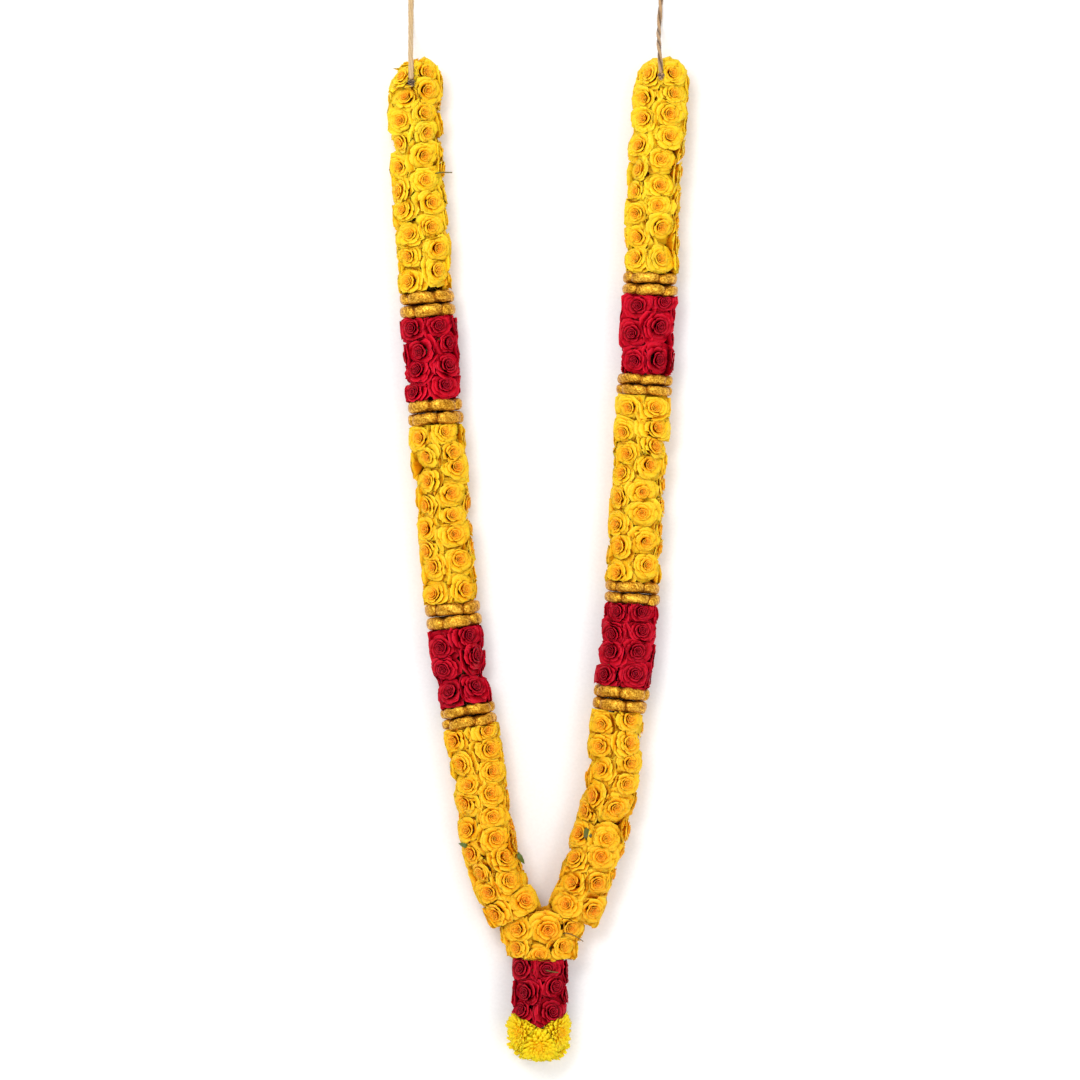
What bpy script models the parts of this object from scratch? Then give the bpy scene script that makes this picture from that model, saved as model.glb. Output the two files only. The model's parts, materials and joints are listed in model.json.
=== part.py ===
"""A rose garland laid flat on a surface.

Two strands of spray roses come down side by side from their tie strings, lean together and
meet, and a short pendant runs on from there. X is across the garland, Y is along it towards
the tie strings, and Z is up from the surface that it lies on, which is at Z = 0.
"""
import math
import random
from dataclasses import dataclass

import bmesh
import bpy
from mathutils import Vector

MM = 0.001
UP = Vector((0.0, 0.0, 1.0))
TURN = 2 * math.pi

# Cross-section of a strand
STRAND_REACH = 31 * MM  # from the strand's axis to the tops of its roses
AXIS_HEIGHT = 28 * MM  # the roses underneath are pressed flat by what is left
ROPE_RADIUS = 2.6 * MM
STEMS_RADIUS = 7.6 * MM
BORE_CLEARANCE = 0.4 * MM  # leaves 0.35 mm between the flats of two six-sided tubes
ROPE_SIDES = 6
GAP = 0.3 * MM  # between pieces that touch

# Spray roses
ROW_PITCH = 25.5 * MM  # along the strand, from one rose to the next in its column
STRAND_COLUMNS = 5
ROSE_RADIUS = 15.5 * MM
RIM_DEPTH = 4.5 * MM  # below the top of the bud
BUD_DEPTH = 1 * MM
BUD_RADIUS = 4.4 * MM
VALLEY_DEPTH = 16 * MM  # where neighbouring roses meet
BOWL_SHARE = 0.62  # the bowl round the bud goes this share of the valley's depth down
STAGGER = (0.4, 0.35)  # how much of the helix is left in a run's end row, and gained a row further in
WANDER = (0.1, math.radians(6))  # how far a rose strays, in rows and round the strand
LEAN = math.radians(11)
END_LEAN = math.radians(20)  # how far the roses at a strand's free end turn outwards
COLUMN_SWAY = (math.radians(10), 7.0)  # how far the columns wind to and fro, and over how many rows
SIZES = (0.88, 1.08)
OUTER_PETALS = 5
NOTCH = 0.84  # how far the rim comes in between two petals
NOTCH_ROOM = 0.94  # the same where a neighbour is in the way
NOTCH_RISE = 1.5 * MM
NARROWEST_RIM = 4 * MM
BOWL_REACH = 0.55  # the bowl's radius as a share of the rim's shortest
BUD_REACH = 0.42
VALLEY_STRAY = 1 * MM
NEIGHBOUR_REACH = 3 * ROSE_RADIUS  # roses further off do not crowd each other
SPARE = 0.6 * MM  # kept between the rims of neighbouring roses

# Gold pads
GOLD_REACH = 29.5 * MM
GOLD_VALLEY = 25 * MM
GOLD_SHOULDER = 21 * MM
GOLD_LOBES = 6
GOLD_WAIST = 6 * MM  # thickness where a ring is gathered on the rope
GOLD_TURN = math.radians(20)  # from one part of a strand to the next
GOLD_SHIFT = math.radians(17)  # between the two rings of a band

# Where the strands' runs begin and end along Y, and the seed that scatters each run's roses
LEFT_RUNS = [
    ("yellow", "upper", 544.5 * MM, 297 * MM, 140),
    ("gold", "1", 297 * MM, 268 * MM, 0),
    ("red", "upper", 268 * MM, 178 * MM, 2),
    ("gold", "2", 178 * MM, 150 * MM, 0),
    ("yellow", "middle", 150 * MM, -45 * MM, 24),
    ("gold", "3", -45 * MM, -73 * MM, 0),
    ("red", "lower", -73 * MM, -157 * MM, 3),
    ("gold", "4", -157 * MM, -182 * MM, 0),
    ("yellow", "lower", -182 * MM, -392 * MM, 36),
]
RIGHT_RUNS = [
    ("yellow", "upper", 545.5 * MM, 317 * MM, 7),
    ("gold", "1", 317 * MM, 292 * MM, 0),
    ("red", "upper", 292 * MM, 206 * MM, 4),
    ("gold", "2", 206 * MM, 182 * MM, 0),
    ("yellow", "middle", 182 * MM, -22 * MM, 43),
    ("gold", "3", -22 * MM, -47 * MM, 0),
    ("red", "lower", -47 * MM, -137 * MM, 7),
    ("gold", "4", -137 * MM, -165 * MM, 0),
    ("yellow", "lower", -165 * MM, -392 * MM, 42),
]
FIRST_COLUMN = {"left": math.radians(28), "right": math.radians(26)}
STATION_PITCH = 75 * MM  # longest straight stretch of a rope or bore
EVENED = 3 * MM  # either way along a line, where its direction is taken

# The core rope's route in X and Y, down the left strand, round the bend and up the right one
CORE_ROUTE = [
    Vector((x * MM, y * MM, AXIS_HEIGHT))
    for x, y in [
        (-134, 560), (-130, 464), (-126, 376), (-119, 288), (-113, 200), (-106, 112),
        (-97, 24), (-90, -64), (-78, -141), (-64, -224), (-53, -295), (-41, -345),
        (-21, -392), (-11, -408), (8, -417), (29, -408), (39, -392),
        (56, -345), (75, -290), (86, -224), (95, -141), (104, -64), (111, 35),
        (116, 123), (121, 211), (126, 299), (129, 376), (134, 464), (141, 560),
    ]
]
ROPE_TOP = 538 * MM
BEND_STEPS = 8

# The junction and the pendant
JUNCTION_MIDDLES = (9 * MM, 6 * MM)  # along X, at its top and at its foot
JUNCTION_FOOT = -436 * MM
JUNCTION_COLUMNS = 7
JUNCTION_ROWS = 2
JUNCTION_HALF_WIDTHS = (51 * MM, 37 * MM)  # at its top and at its foot
JUNCTION_HALF_DEPTH = 30 * MM
JUNCTION_VALLEY = 11 * MM
JUNCTION_BORE = [(0, 37), (0.25, 34), (0.5, 28), (0.75, 16), (1, 6)]  # share down, half width
JUNCTION_BORE_DEPTH = 5.5 * MM
JUNCTION_BORE_SIDES = 8
JUNCTION_FRONT_ROSE = 6  # the number of the rose that lies uppermost
EVEN_SPREAD = 0.13  # evens out the roses round the junction's oval
PENDANT_ROUTE = [
    Vector((x * MM, y * MM, AXIS_HEIGHT)) for x, y in [(8, -420), (6.5, -436), (4, -507), (4, -537)]
]
PENDANT_FOOT = -504 * MM
PENDANT_FIRST_COLUMN = math.radians(17)
JUNCTION_SEED, PENDANT_SEED = 29, 2

# Chrysanthemums: name, place along Y, angle round the rope from straight up, lean down the rope
CHRYSANTHEMUMS = [
    ("front", -520, 0, 26),
    ("left", -513, -48, 6),
    ("right", -513.5, 54, 6),
    ("back_left", -520, -141, 28),
    ("back_right", -522, 141, 28),
]
CHRYSANTHEMUM_RADIUS = 25 * MM
CHRYSANTHEMUM_NOTCH = 17.5 * MM  # radius between two outer petals
CHRYSANTHEMUM_RIM = 22 * MM  # from the root of the bloom to its outer petals
CHRYSANTHEMUM_HEEL = 1.3 * MM
OUTER_DROOP = 1 * MM  # how far the outer petals' tips hang below the rim, and their notches rise
TROUGH, TROUGH_DROP = 0.75, 0.5 * MM  # between the outer and inner petals: share of the radius
INNER_PETALS = 6
INNER_REACH = (0.85, 0.62)  # tips and notches
INNER_RISE = (6 * MM, 5 * MM)
DOME_REACH, DOME_RISE = 0.36, 9.5 * MM
CHRYSANTHEMUM_PETALS = 12

# Tie strings: radius and the points that each route passes through, from its knot
STRING_RADIUS = 2.5 * MM
STRING_ROUTES = {
    "left": [
        (-136, 528, 57.8), (-136.2, 538, 58.3), (-136.5, 549, 56), (-136.9, 561, 45.6), (-137.2, 573, 29),
        (-137.5, 586, 12), (-137.6, 600, 4), (-137.6, 616, 2.8), (-137.5, 631, 2.8), (-137.4, 646, 2.8),
    ],
    "right": [
        (137.4, 535, 59.2), (136.8, 545, 59.7), (136, 556, 55.7), (135.5, 567, 44), (135.5, 578, 27),
        (136.2, 589, 11), (137.2, 602, 4), (138.2, 617, 2.8), (139, 631, 2.8), (139.6, 646, 2.8),
    ],
}
STRING_STEP = 12 * MM
KNOT_RADIUS = 3.4 * MM

# Colour, roughness and metallic value of each material
FINISHES = {
    "yellow_petals": ((0.95, 0.55, 0.02), 0.55, 0.0),
    "red_petals": ((0.5, 0.005, 0.02), 0.5, 0.0),
    "gold_tissue": ((0.75, 0.5, 0.12), 0.35, 0.8),
    "chrysanthemum_petals": ((0.95, 0.7, 0.02), 0.6, 0.0),
    "green_stems": ((0.12, 0.25, 0.05), 0.6, 0.0),
    "cotton_rope": ((0.6, 0.52, 0.38), 0.9, 0.0),
    "straw_fibre": ((0.75, 0.6, 0.42), 0.8, 0.0),
    "jute_twine": ((0.4, 0.25, 0.12), 0.9, 0.0),
}


def catmull_rom(before, here, there, after, share):
    """The point a share of the way from here to there on the smooth curve through all four."""
    square, cube = share * share, share ** 3
    return 0.5 * (
        here * 2
        + (there - before) * share
        + (before * 2 - here * 5 + there * 4 - after) * square
        + (here * 3 - before - there * 3 + after) * cube
    )


def full(share):
    """A sine or cosine swollen so that a circle becomes a rounded square."""
    return math.copysign(math.sqrt(abs(share)), share)


class Line:
    """A smooth curve through control points, measured along its length."""

    STEPS = 16

    def __init__(self, route):
        route = [route[0] * 2 - route[1], *route, route[-1] * 2 - route[-2]]
        self.points = [
            catmull_rom(*four, step / self.STEPS)
            for four in zip(route, route[1:], route[2:], route[3:])
            for step in range(self.STEPS)
        ]
        self.points.append(route[-2])
        self.marks = [0.0]
        for here, there in zip(self.points, self.points[1:]):
            self.marks.append(self.marks[-1] + (there - here).length)

    def at(self, distance):
        """The point at a distance along the curve, which runs on straight past its ends."""
        last = len(self.marks) - 2
        piece = min(sum(mark <= distance for mark in self.marks[1:]), last)
        here, there = self.points[piece], self.points[piece + 1]
        span = self.marks[piece + 1] - self.marks[piece]
        return here.lerp(there, (distance - self.marks[piece]) / span)

    def along(self, distance):
        """The curve's direction there, evened out over a few millimetres."""
        return (self.at(distance + EVENED) - self.at(distance - EVENED)).normalized()

    def where_y(self, y):
        """The distance at which the curve first comes down to y."""
        for piece, (here, there) in enumerate(zip(self.points, self.points[1:])):
            if here.y >= y > there.y:
                share = (here.y - y) / (here.y - there.y)
                return self.marks[piece] + share * (there - here).length
        raise ValueError(f"the curve does not reach {y}")


@dataclass
class Plane:
    """A flat limit: what it holds stays on the side that the normal points away from."""

    point: Vector
    normal: Vector

    def room(self, start, direction):
        """How far one can go from start in a direction before meeting the plane."""
        speed = direction.dot(self.normal)
        return (self.point - start).dot(self.normal) / speed if speed > 1e-6 else math.inf

    def held(self, point):
        """The point, or the nearest one on the plane if it lies past it."""
        past = (point - self.point).dot(self.normal)
        return point - self.normal * past if past > 0 else point


GROUND = Plane(Vector((0, 0, 0)), -UP)


def slot_ends(line, start, end):
    """The planes across a line that bound what is threaded on it from start to end."""
    first, last = line.along(start), line.along(end)
    return [
        Plane(line.at(start) + first * GAP / 2, -first),
        Plane(line.at(end) - last * GAP / 2, last),
    ]


class StrandSleeve:
    """The round room that a run of roses fills about a straight or curved rope."""

    valley_depth = VALLEY_DEPTH
    columns = STRAND_COLUMNS

    def __init__(self, line, start, end, first_angle, free_start=False):
        self.line, self.start, self.end = line, start, end
        self.first_angle, self.free_start = first_angle, free_start
        self.rows = max(1, round((end - start) / ROW_PITCH))
        self.pitch = (end - start) / self.rows
        spans = max(1, math.ceil((end - start) / STATION_PITCH))
        self.stations = [self.rows * step / spans for step in range(spans + 1)]

    def distance(self, row):
        return self.start + row * self.pitch

    def angle(self, turn, row):
        sway, rows = COLUMN_SWAY
        return turn + sway * math.sin(TURN * row / rows)

    def axes(self, row, angle):
        """Directions along the strand and out from it."""
        along = self.line.along(self.distance(row))
        side = UP.cross(along)
        return along, side * math.sin(angle) + UP * math.cos(angle)

    def point(self, row, angle, depth):
        """The place at a depth below the tops of the roses."""
        outward = self.axes(row, angle)[1]
        return self.line.at(self.distance(row)) + outward * (STRAND_REACH - depth)

    def ring(self, row, radius):
        """A six-sided ring about the rope, as pairs of angle and point."""
        angles = [TURN * side / ROPE_SIDES for side in range(ROPE_SIDES)]
        return [(angle, self.point(row, angle, STRAND_REACH - radius)) for angle in angles]

    def bore(self, row):
        return self.ring(row, STEMS_RADIUS + BORE_CLEARANCE)

    def ends(self):
        """The planes across the strand that the run keeps between."""
        first, last = slot_ends(self.line, self.start, self.end)
        return [last] if self.free_start else [first, last]


class JunctionSleeve:
    """The oval room of the roses where the strands meet, under a roof that fits their ends."""

    valley_depth = JUNCTION_VALLEY
    columns = JUNCTION_COLUMNS
    first_angle = -JUNCTION_FRONT_ROSE * 2 * TURN / JUNCTION_COLUMNS
    rows = JUNCTION_ROWS
    free_start = False

    def __init__(self, strand_ends, floor):
        self.strand_ends, self.floor = strand_ends, floor
        self.stations = [self.rows * share for share, _ in JUNCTION_BORE]

    @staticmethod
    def level(plane, x):
        """The place along Y at which an upright plane stands at x."""
        return plane.point.y - (x - plane.point.x) * plane.normal.x / plane.normal.y

    def angle(self, turn, row):
        return turn - EVEN_SPREAD * math.sin(2 * turn)

    def axes(self, row, angle):
        width, depth = self.between(row, JUNCTION_HALF_WIDTHS), JUNCTION_HALF_DEPTH
        outward = Vector((math.sin(angle) * depth, 0, math.cos(angle) * width)).normalized()
        return Vector((0, -1, 0)), outward

    def between(self, row, pair):
        """The value at that row, of a pair that holds it for the top and for the foot."""
        return pair[0] + (pair[1] - pair[0]) * row / self.rows

    def place(self, row, across, height):
        x = self.between(row, JUNCTION_MIDDLES) + across
        roof = min(self.level(end, x) for end in self.strand_ends)
        y = self.between(row, (roof, self.level(self.floor, x)))
        return Vector((x, y, AXIS_HEIGHT + height))

    def point(self, row, angle, depth):
        across = (self.between(row, JUNCTION_HALF_WIDTHS) - depth) * math.sin(angle)
        height = (JUNCTION_HALF_DEPTH - depth) * math.cos(angle)
        return self.place(row, across, height)

    def bore(self, row):
        """The hollow that the rope's bend lies in."""
        half_width = dict(JUNCTION_BORE)[row / self.rows] * MM
        ring = []
        for side in range(JUNCTION_BORE_SIDES):
            angle = TURN * side / JUNCTION_BORE_SIDES
            across = half_width * full(math.sin(angle))
            height = JUNCTION_BORE_DEPTH * full(math.cos(angle))
            ring.append((angle, self.place(row, across, height)))
        return ring

    def ends(self):
        floor = Plane(self.floor.point - self.floor.normal * GAP / 2, self.floor.normal)
        roofs = [Plane(end.point + end.normal * GAP / 2, -end.normal) for end in self.strand_ends]
        return [*roofs, floor]


class Skin:
    """The points and triangles of one closed body, held inside its limits."""

    def __init__(self, limits=()):
        self.limits = [GROUND, *limits]
        self.points = []
        self.triangles = []

    def add(self, point):
        for limit in self.limits:
            point = limit.held(point)
        self.points.append(point)
        return len(self.points) - 1

    def ring(self, pairs):
        """Adds a ring given as pairs of turn and point, and returns pairs of turn and number."""
        return [(turn, self.add(point)) for turn, point in pairs]

    def bridge(self, outer, inner):
        """Fills the band between two rings that both go round the same way."""
        reach = [abs(math.remainder(turn - outer[0][0], TURN)) for turn, _ in inner]
        first = reach.index(min(reach))
        inner = inner[first:] + inner[:first]
        outer = self.unwound(outer, outer[0][0])
        start = outer[0][0] + math.remainder(inner[0][0] - outer[0][0], TURN)
        inner = self.unwound(inner, start)
        i = j = 0
        while i < len(outer) - 1 or j < len(inner) - 1:
            outer_next = (outer[i][0] + outer[i + 1][0]) / 2 if i < len(outer) - 1 else math.inf
            inner_next = (inner[j][0] + inner[j + 1][0]) / 2 if j < len(inner) - 1 else math.inf
            if outer_next <= inner_next:
                self.triangles.append((outer[i][1], outer[i + 1][1], inner[j][1]))
                i += 1
            else:
                self.triangles.append((outer[i][1], inner[j + 1][1], inner[j][1]))
                j += 1

    @staticmethod
    def unwound(ring, start):
        """The ring with its turns rising from start, closed by its first number again."""
        turns = [start]
        for (before, _), (here, _) in zip(ring, ring[1:] + ring[:1]):
            turns.append(turns[-1] + (here - before) % TURN)
        turns[-1] = start + TURN
        return list(zip(turns, [number for _, number in ring] + [ring[0][1]]))

    def make(self, name, finish):
        """The body as an object of its own."""
        body = bmesh.new()
        corners = [body.verts.new(point) for point in self.points]
        for triangle in self.triangles:
            body.faces.new([corners[number] for number in triangle])
        bmesh.ops.recalc_face_normals(body, faces=body.faces)
        if body.calc_volume(signed=True) < 0:
            bmesh.ops.reverse_faces(body, faces=body.faces)
        mesh = bpy.data.meshes.new(name)
        body.to_mesh(mesh)
        body.free()
        return link(name, mesh, finish)


@dataclass
class Rose:
    """One rose's place on its sleeve, its size and how it leans along and round the strand."""

    row: float
    angle: float
    size: float
    lean: list


def material_named(name):
    """The material of that name, made on its first use."""
    if name not in bpy.data.materials:
        colour, roughness, metallic = FINISHES[name]
        made = bpy.data.materials.new(name)
        made.use_nodes = True
        shader = made.node_tree.nodes["Principled BSDF"]
        shader.inputs["Base Color"].default_value = (*colour, 1)
        shader.inputs["Roughness"].default_value = roughness
        shader.inputs["Metallic"].default_value = metallic
        made.diffuse_color = (*colour, 1)
    return bpy.data.materials[name]


def link(name, data, finish):
    made = bpy.data.objects.new(name, data)
    data.materials.append(material_named(finish))
    bpy.context.scene.collection.objects.link(made)
    return made


def rose_places(sleeve, seed):
    """The roses of a run and one spare turn of them past each end, by their number.

    They follow a helix of two turns for each row, so neighbouring columns are staggered, and
    the stagger fades towards the run's ends, which are cut square.
    """
    rng = random.Random(seed)
    columns = sleeve.columns
    places = {}
    for number in range(-columns, (sleeve.rows + 1) * columns):
        row, order = divmod(number, columns)
        from_end = max(0, min(row, sleeve.rows - 1 - row))
        stagger = (order - (columns - 1) / 2) / columns * min(1, STAGGER[0] + STAGGER[1] * from_end)
        turn = sleeve.first_angle + number * 2 * TURN / columns
        stray = [limit * rng.uniform(-1, 1) for limit in WANDER]
        lean = [LEAN * rng.uniform(-1, 1) for _ in range(2)]
        if sleeve.free_start and row == 0:
            lean[0] -= END_LEAN
        place = row + 0.5 + stagger + stray[0]
        angle = sleeve.angle(math.remainder(turn, TURN), place) + stray[1]
        places[number] = Rose(place, angle, rng.uniform(*SIZES), lean)
    return places


def valley_corners(skin, sleeve, places, rng):
    """The points where three roses meet, by the kind and first number of their triangle."""
    columns = sleeve.columns
    middle = {"wide": (columns + 1) // 2, "narrow": (columns - 1) // 2}
    count = sleeve.rows * columns
    corners = {}
    for kind, step in middle.items():
        for number in range(-columns, count):
            three = [places[number], places[number + step], places[number + columns]]
            row = sum(rose.row for rose in three) / 3
            base = three[0].angle
            angle = base + sum(math.remainder(rose.angle - base, TURN) for rose in three) / 3
            depth = sleeve.valley_depth + VALLEY_STRAY * rng.uniform(-1, 1)
            if number < 0:
                row = 0.0
            elif number + columns >= count:
                row = sleeve.rows
            corner = skin.add(sleeve.point(row, angle, depth))
            corners[kind, number] = (angle, corner)
    return corners


def add_rose(skin, rose, sleeve, corner_numbers, neighbours, limits):
    """Raises one rose from the corners of its cell: outer petals, a bowl and a bud."""
    along, outward = sleeve.axes(rose.row, rose.angle)
    top = sleeve.point(rose.row, rose.angle, 0)
    around = outward.cross(along)
    outward += along * math.tan(rose.lean[0]) + around * math.tan(rose.lean[1])
    outward.normalize()
    along = (along - outward * along.dot(outward)).normalized()
    around = outward.cross(along)
    seat = top - outward * RIM_DEPTH
    walls = list(limits)
    for other in neighbours:
        between = other - seat
        walls.append(Plane(seat + between / 2, between.normalized()))

    def reach(direction, free):
        return min([free, *(wall.room(seat, direction) - SPARE for wall in walls)])

    def place(turn, radius, depth):
        direction = along * math.cos(turn) + around * math.sin(turn)
        return top - outward * depth + direction * radius

    skirt = []
    for number in corner_numbers:
        offset = skin.points[number] - seat
        skirt.append((math.atan2(offset.dot(around), offset.dot(along)), number))
    rim, shortest = [], ROSE_RADIUS
    for step in range(2 * OUTER_PETALS):
        turn = TURN * (step + rose.size) / (2 * OUTER_PETALS)
        direction = along * math.cos(turn) + around * math.sin(turn)
        notch = step % 2
        free = ROSE_RADIUS * rose.size * (NOTCH if notch else 1)
        radius = max(NARROWEST_RIM, reach(direction, free) * (NOTCH_ROOM if notch else 1))
        shortest = min(shortest, radius)
        rim.append((turn, place(turn, radius, RIM_DEPTH - (NOTCH_RISE if notch else 0))))
    thirds = [TURN * (third + rose.size) / 3 for third in range(3)]
    bowl_depth = BOWL_SHARE * sleeve.valley_depth
    between = [turn + TURN / 6 for turn in thirds]
    bowl = [(turn, place(turn, shortest * BOWL_REACH, bowl_depth)) for turn in between]
    bud = [(turn, place(turn, min(BUD_RADIUS, shortest * BUD_REACH), BUD_DEPTH)) for turn in thirds]
    rim, bowl, bud = skin.ring(rim), skin.ring(bowl), skin.ring(bud)
    skin.bridge(skirt, rim)
    skin.bridge(rim, bowl)
    skin.bridge(bowl, bud)
    skin.triangles.append(tuple(number for _, number in bud))


def rose_run(name, finish, sleeve, limits, seed):
    """A run of roses pressed together round the bore for their stems, as one body."""
    places = rose_places(sleeve, seed)
    skin = Skin(limits)
    corners = valley_corners(skin, sleeve, places, random.Random(seed + 1))
    columns, count = sleeve.columns, sleeve.rows * sleeve.columns
    wide, narrow = (columns + 1) // 2, (columns - 1) // 2
    seats = {number: sleeve.point(rose.row, rose.angle, RIM_DEPTH) for number, rose in places.items()}
    for number in range(count):
        cell = [
            ("wide", number), ("narrow", number - narrow), ("wide", number - columns),
            ("narrow", number - columns), ("wide", number - wide), ("narrow", number),
        ]
        near = [
            seats[other]
            for other in range(count)
            if other != number and (seats[other] - seats[number]).length < NEIGHBOUR_REACH
        ]
        cell_corners = [corners[corner][1] for corner in cell]
        add_rose(skin, places[number], sleeve, cell_corners, near, limits)
    bores = [skin.ring(sleeve.bore(row)) for row in sleeve.stations]
    for here, there in zip(bores, bores[1:]):
        skin.bridge(here, there)
    for first, bore in ((-columns, bores[0]), (count - columns, bores[-1])):
        numbers = range(first, first + columns)
        loop = [corners[kind, number] for kind in ("wide", "narrow") for number in numbers]
        loop = [(angle % TURN, corner) for angle, corner in loop]
        skin.bridge(sorted(loop), bore)
    return skin.make(name, finish)


def bound_stems(name, sleeve):
    """The short stems and calyxes of a run, bound round the rope."""
    skin = Skin()
    shrink = 2 * GAP / sleeve.pitch
    rows = [shrink, *sleeve.stations[1:-1], sleeve.rows - shrink]
    outer = [skin.ring(sleeve.ring(row, STEMS_RADIUS)) for row in rows]
    inner = [skin.ring(sleeve.ring(row, ROPE_RADIUS + BORE_CLEARANCE)) for row in rows]
    for rings in (outer, inner):
        for here, there in zip(rings, rings[1:]):
            skin.bridge(here, there)
    skin.bridge(outer[0], inner[0])
    skin.bridge(outer[-1], inner[-1])
    return skin.make(name, "green_stems")


def gold_ring(name, line, start, end, phase):
    """One ring of gold tissue pads, gathered on the rope and puffed out at its rim."""
    middle, half = (start + end) / 2, (end - start - GAP) / 2
    along, centre = line.along(middle), line.at(middle)
    side = UP.cross(along)

    def place(angle, radius, offset):
        return centre + along * offset + (side * math.sin(angle) + UP * math.cos(angle)) * radius

    skin = Skin(slot_ends(line, start, end))
    crest = []
    for step in range(3 * GOLD_LOBES):
        angle = phase + TURN * step / (3 * GOLD_LOBES)
        radius = GOLD_REACH if step % 3 else GOLD_VALLEY
        crest.append((angle, place(angle, radius, 0)))
    crest = skin.ring(crest)
    holes = []
    for way in (-1, 1):
        lobes = [phase + TURN * (lobe + 0.5) / GOLD_LOBES for lobe in range(GOLD_LOBES)]
        corners = [TURN * corner / ROPE_SIDES for corner in range(ROPE_SIDES)]
        hole_radius = ROPE_RADIUS + BORE_CLEARANCE
        shoulder = skin.ring([(angle, place(angle, GOLD_SHOULDER, way * half)) for angle in lobes])
        hole = skin.ring([(angle, place(angle, hole_radius, way * GOLD_WAIST / 2)) for angle in corners])
        skin.bridge(crest, shoulder)
        skin.bridge(shoulder, hole)
        holes.append(hole)
    skin.bridge(*holes)
    return skin.make(name, "gold_tissue")


def rope(name, stations, radius, finish):
    """A six-sided rope through stations, which are pairs of centre and direction."""
    skin = Skin()
    rings = []
    for centre, along in stations:
        side = UP.cross(along).normalized()
        ring = []
        for corner in range(ROPE_SIDES):
            angle = TURN * corner / ROPE_SIDES
            ring.append((angle, centre + (side * math.sin(angle) + UP * math.cos(angle)) * radius))
        rings.append(skin.ring(ring))
    for here, there in zip(rings, rings[1:]):
        skin.bridge(here, there)
    for ring in (rings[0], rings[-1]):
        numbers = [number for _, number in ring]
        skin.triangles += [(numbers[0], here, there) for here, there in zip(numbers[1:], numbers[2:])]
    return skin.make(name, finish)


def chrysanthemum(name, root, along, outward, others, limits):
    """A bloom of strap petals: pointed outer ones, a ring of inner ones and a domed middle."""
    around = outward.cross(along)
    seat = root + outward * CHRYSANTHEMUM_RIM
    walls = list(limits)
    for other in others:
        between = other - seat
        walls.append(Plane(seat + between / 2, between.normalized()))

    def ring(count, radii, heights):
        """Points round the bloom, their radii and heights taken in turn and kept inside the walls."""
        made = []
        for step in range(count):
            turn = TURN * step / count
            direction = along * math.cos(turn) + around * math.sin(turn)
            room = min(wall.room(seat, direction) - SPARE for wall in walls)
            spot = root + outward * heights[step % len(heights)]
            made.append((turn, spot + direction * min(radii[step % len(radii)], room)))
        return made

    skin = Skin(limits)
    rim = CHRYSANTHEMUM_RIM
    heights = [rim - OUTER_DROOP, rim + OUTER_DROOP]
    tips = ring(2 * CHRYSANTHEMUM_PETALS, [CHRYSANTHEMUM_RADIUS, CHRYSANTHEMUM_NOTCH], heights)
    centres = [root + outward * height for height in heights]
    narrow = min((point - centres[step % 2]).length for step, (_, point) in enumerate(tips))
    inner_radii = [narrow * share for share in INNER_REACH]
    inner_heights = [rim + rise for rise in INNER_RISE]
    tips = skin.ring(tips)
    heel = skin.ring(ring(3, [CHRYSANTHEMUM_HEEL], [0]))
    trough = skin.ring(ring(2 * INNER_PETALS, [narrow * TROUGH], [rim - TROUGH_DROP]))
    inner = skin.ring(ring(2 * INNER_PETALS, inner_radii, inner_heights))
    dome = skin.ring(ring(INNER_PETALS, [narrow * DOME_REACH], [rim + DOME_RISE]))
    skin.triangles.append(tuple(number for _, number in heel))
    for outer, nearer in ((heel, tips), (tips, trough), (trough, inner), (inner, dome)):
        skin.bridge(outer, nearer)
    numbers = [number for _, number in dome]
    skin.triangles += [(numbers[0], here, there) for here, there in zip(numbers[1:], numbers[2:])]
    return skin.make(name, "chrysanthemum_petals")


def tie_string(name, route, finish):
    """A string lying free: a round tube along its route, with filled ends."""
    line = Line([Vector(point) * MM for point in route])
    count = round(line.marks[-1] / STRING_STEP)
    curve = bpy.data.curves.new(name, "CURVE")
    curve.dimensions = "3D"
    curve.bevel_depth = STRING_RADIUS
    curve.bevel_resolution = 2
    curve.use_fill_caps = True
    spline = curve.splines.new("POLY")
    spline.points.add(count)
    for step, point in enumerate(spline.points):
        point.co = (*line.at(line.marks[-1] * step / count), 1)
    return link(name, curve, finish)


def tie_knot(name, route, finish):
    """The lump of the knot that binds a string on, just short of the string's first point."""
    first, second = (Vector(point) * MM for point in route[:2])
    away = (first - second).normalized()
    knot = bmesh.new()
    bmesh.ops.create_icosphere(knot, subdivisions=1, radius=KNOT_RADIUS)
    bmesh.ops.translate(knot, verts=knot.verts, vec=first + away * (KNOT_RADIUS + GAP))
    mesh = bpy.data.meshes.new(name)
    knot.to_mesh(mesh)
    knot.free()
    return link(name, mesh, finish)


def build_strand(hand, line, runs, limits):
    """One strand's roses, stems and gold rings, and the stations of its rope from the top."""
    stations = []
    for number, (kind, label, top, foot, seed) in enumerate(runs):
        start, end = line.where_y(top), line.where_y(foot)
        if kind == "gold":
            middle = (start + end) / 2
            phase = GOLD_TURN * number
            gold_ring(f"gold_pads_{hand}_{label}_top", line, start, middle, phase)
            gold_ring(f"gold_pads_{hand}_{label}_bottom", line, middle, end, phase + GOLD_SHIFT)
            stations.append(start)
            continue
        sleeve = StrandSleeve(line, start, end, FIRST_COLUMN[hand], free_start=number == 0)
        walls = [*sleeve.ends(), *limits]
        rose_run(f"{kind}_roses_{hand}_{label}", f"{kind}_petals", sleeve, walls, seed)
        bound_stems(f"{kind}_rose_stems_{hand}_{label}", sleeve)
        stations += [sleeve.distance(row) for row in sleeve.stations[:-1]]
        lowest = end
    return stations + [lowest], Plane(line.at(lowest), line.along(lowest))


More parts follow.
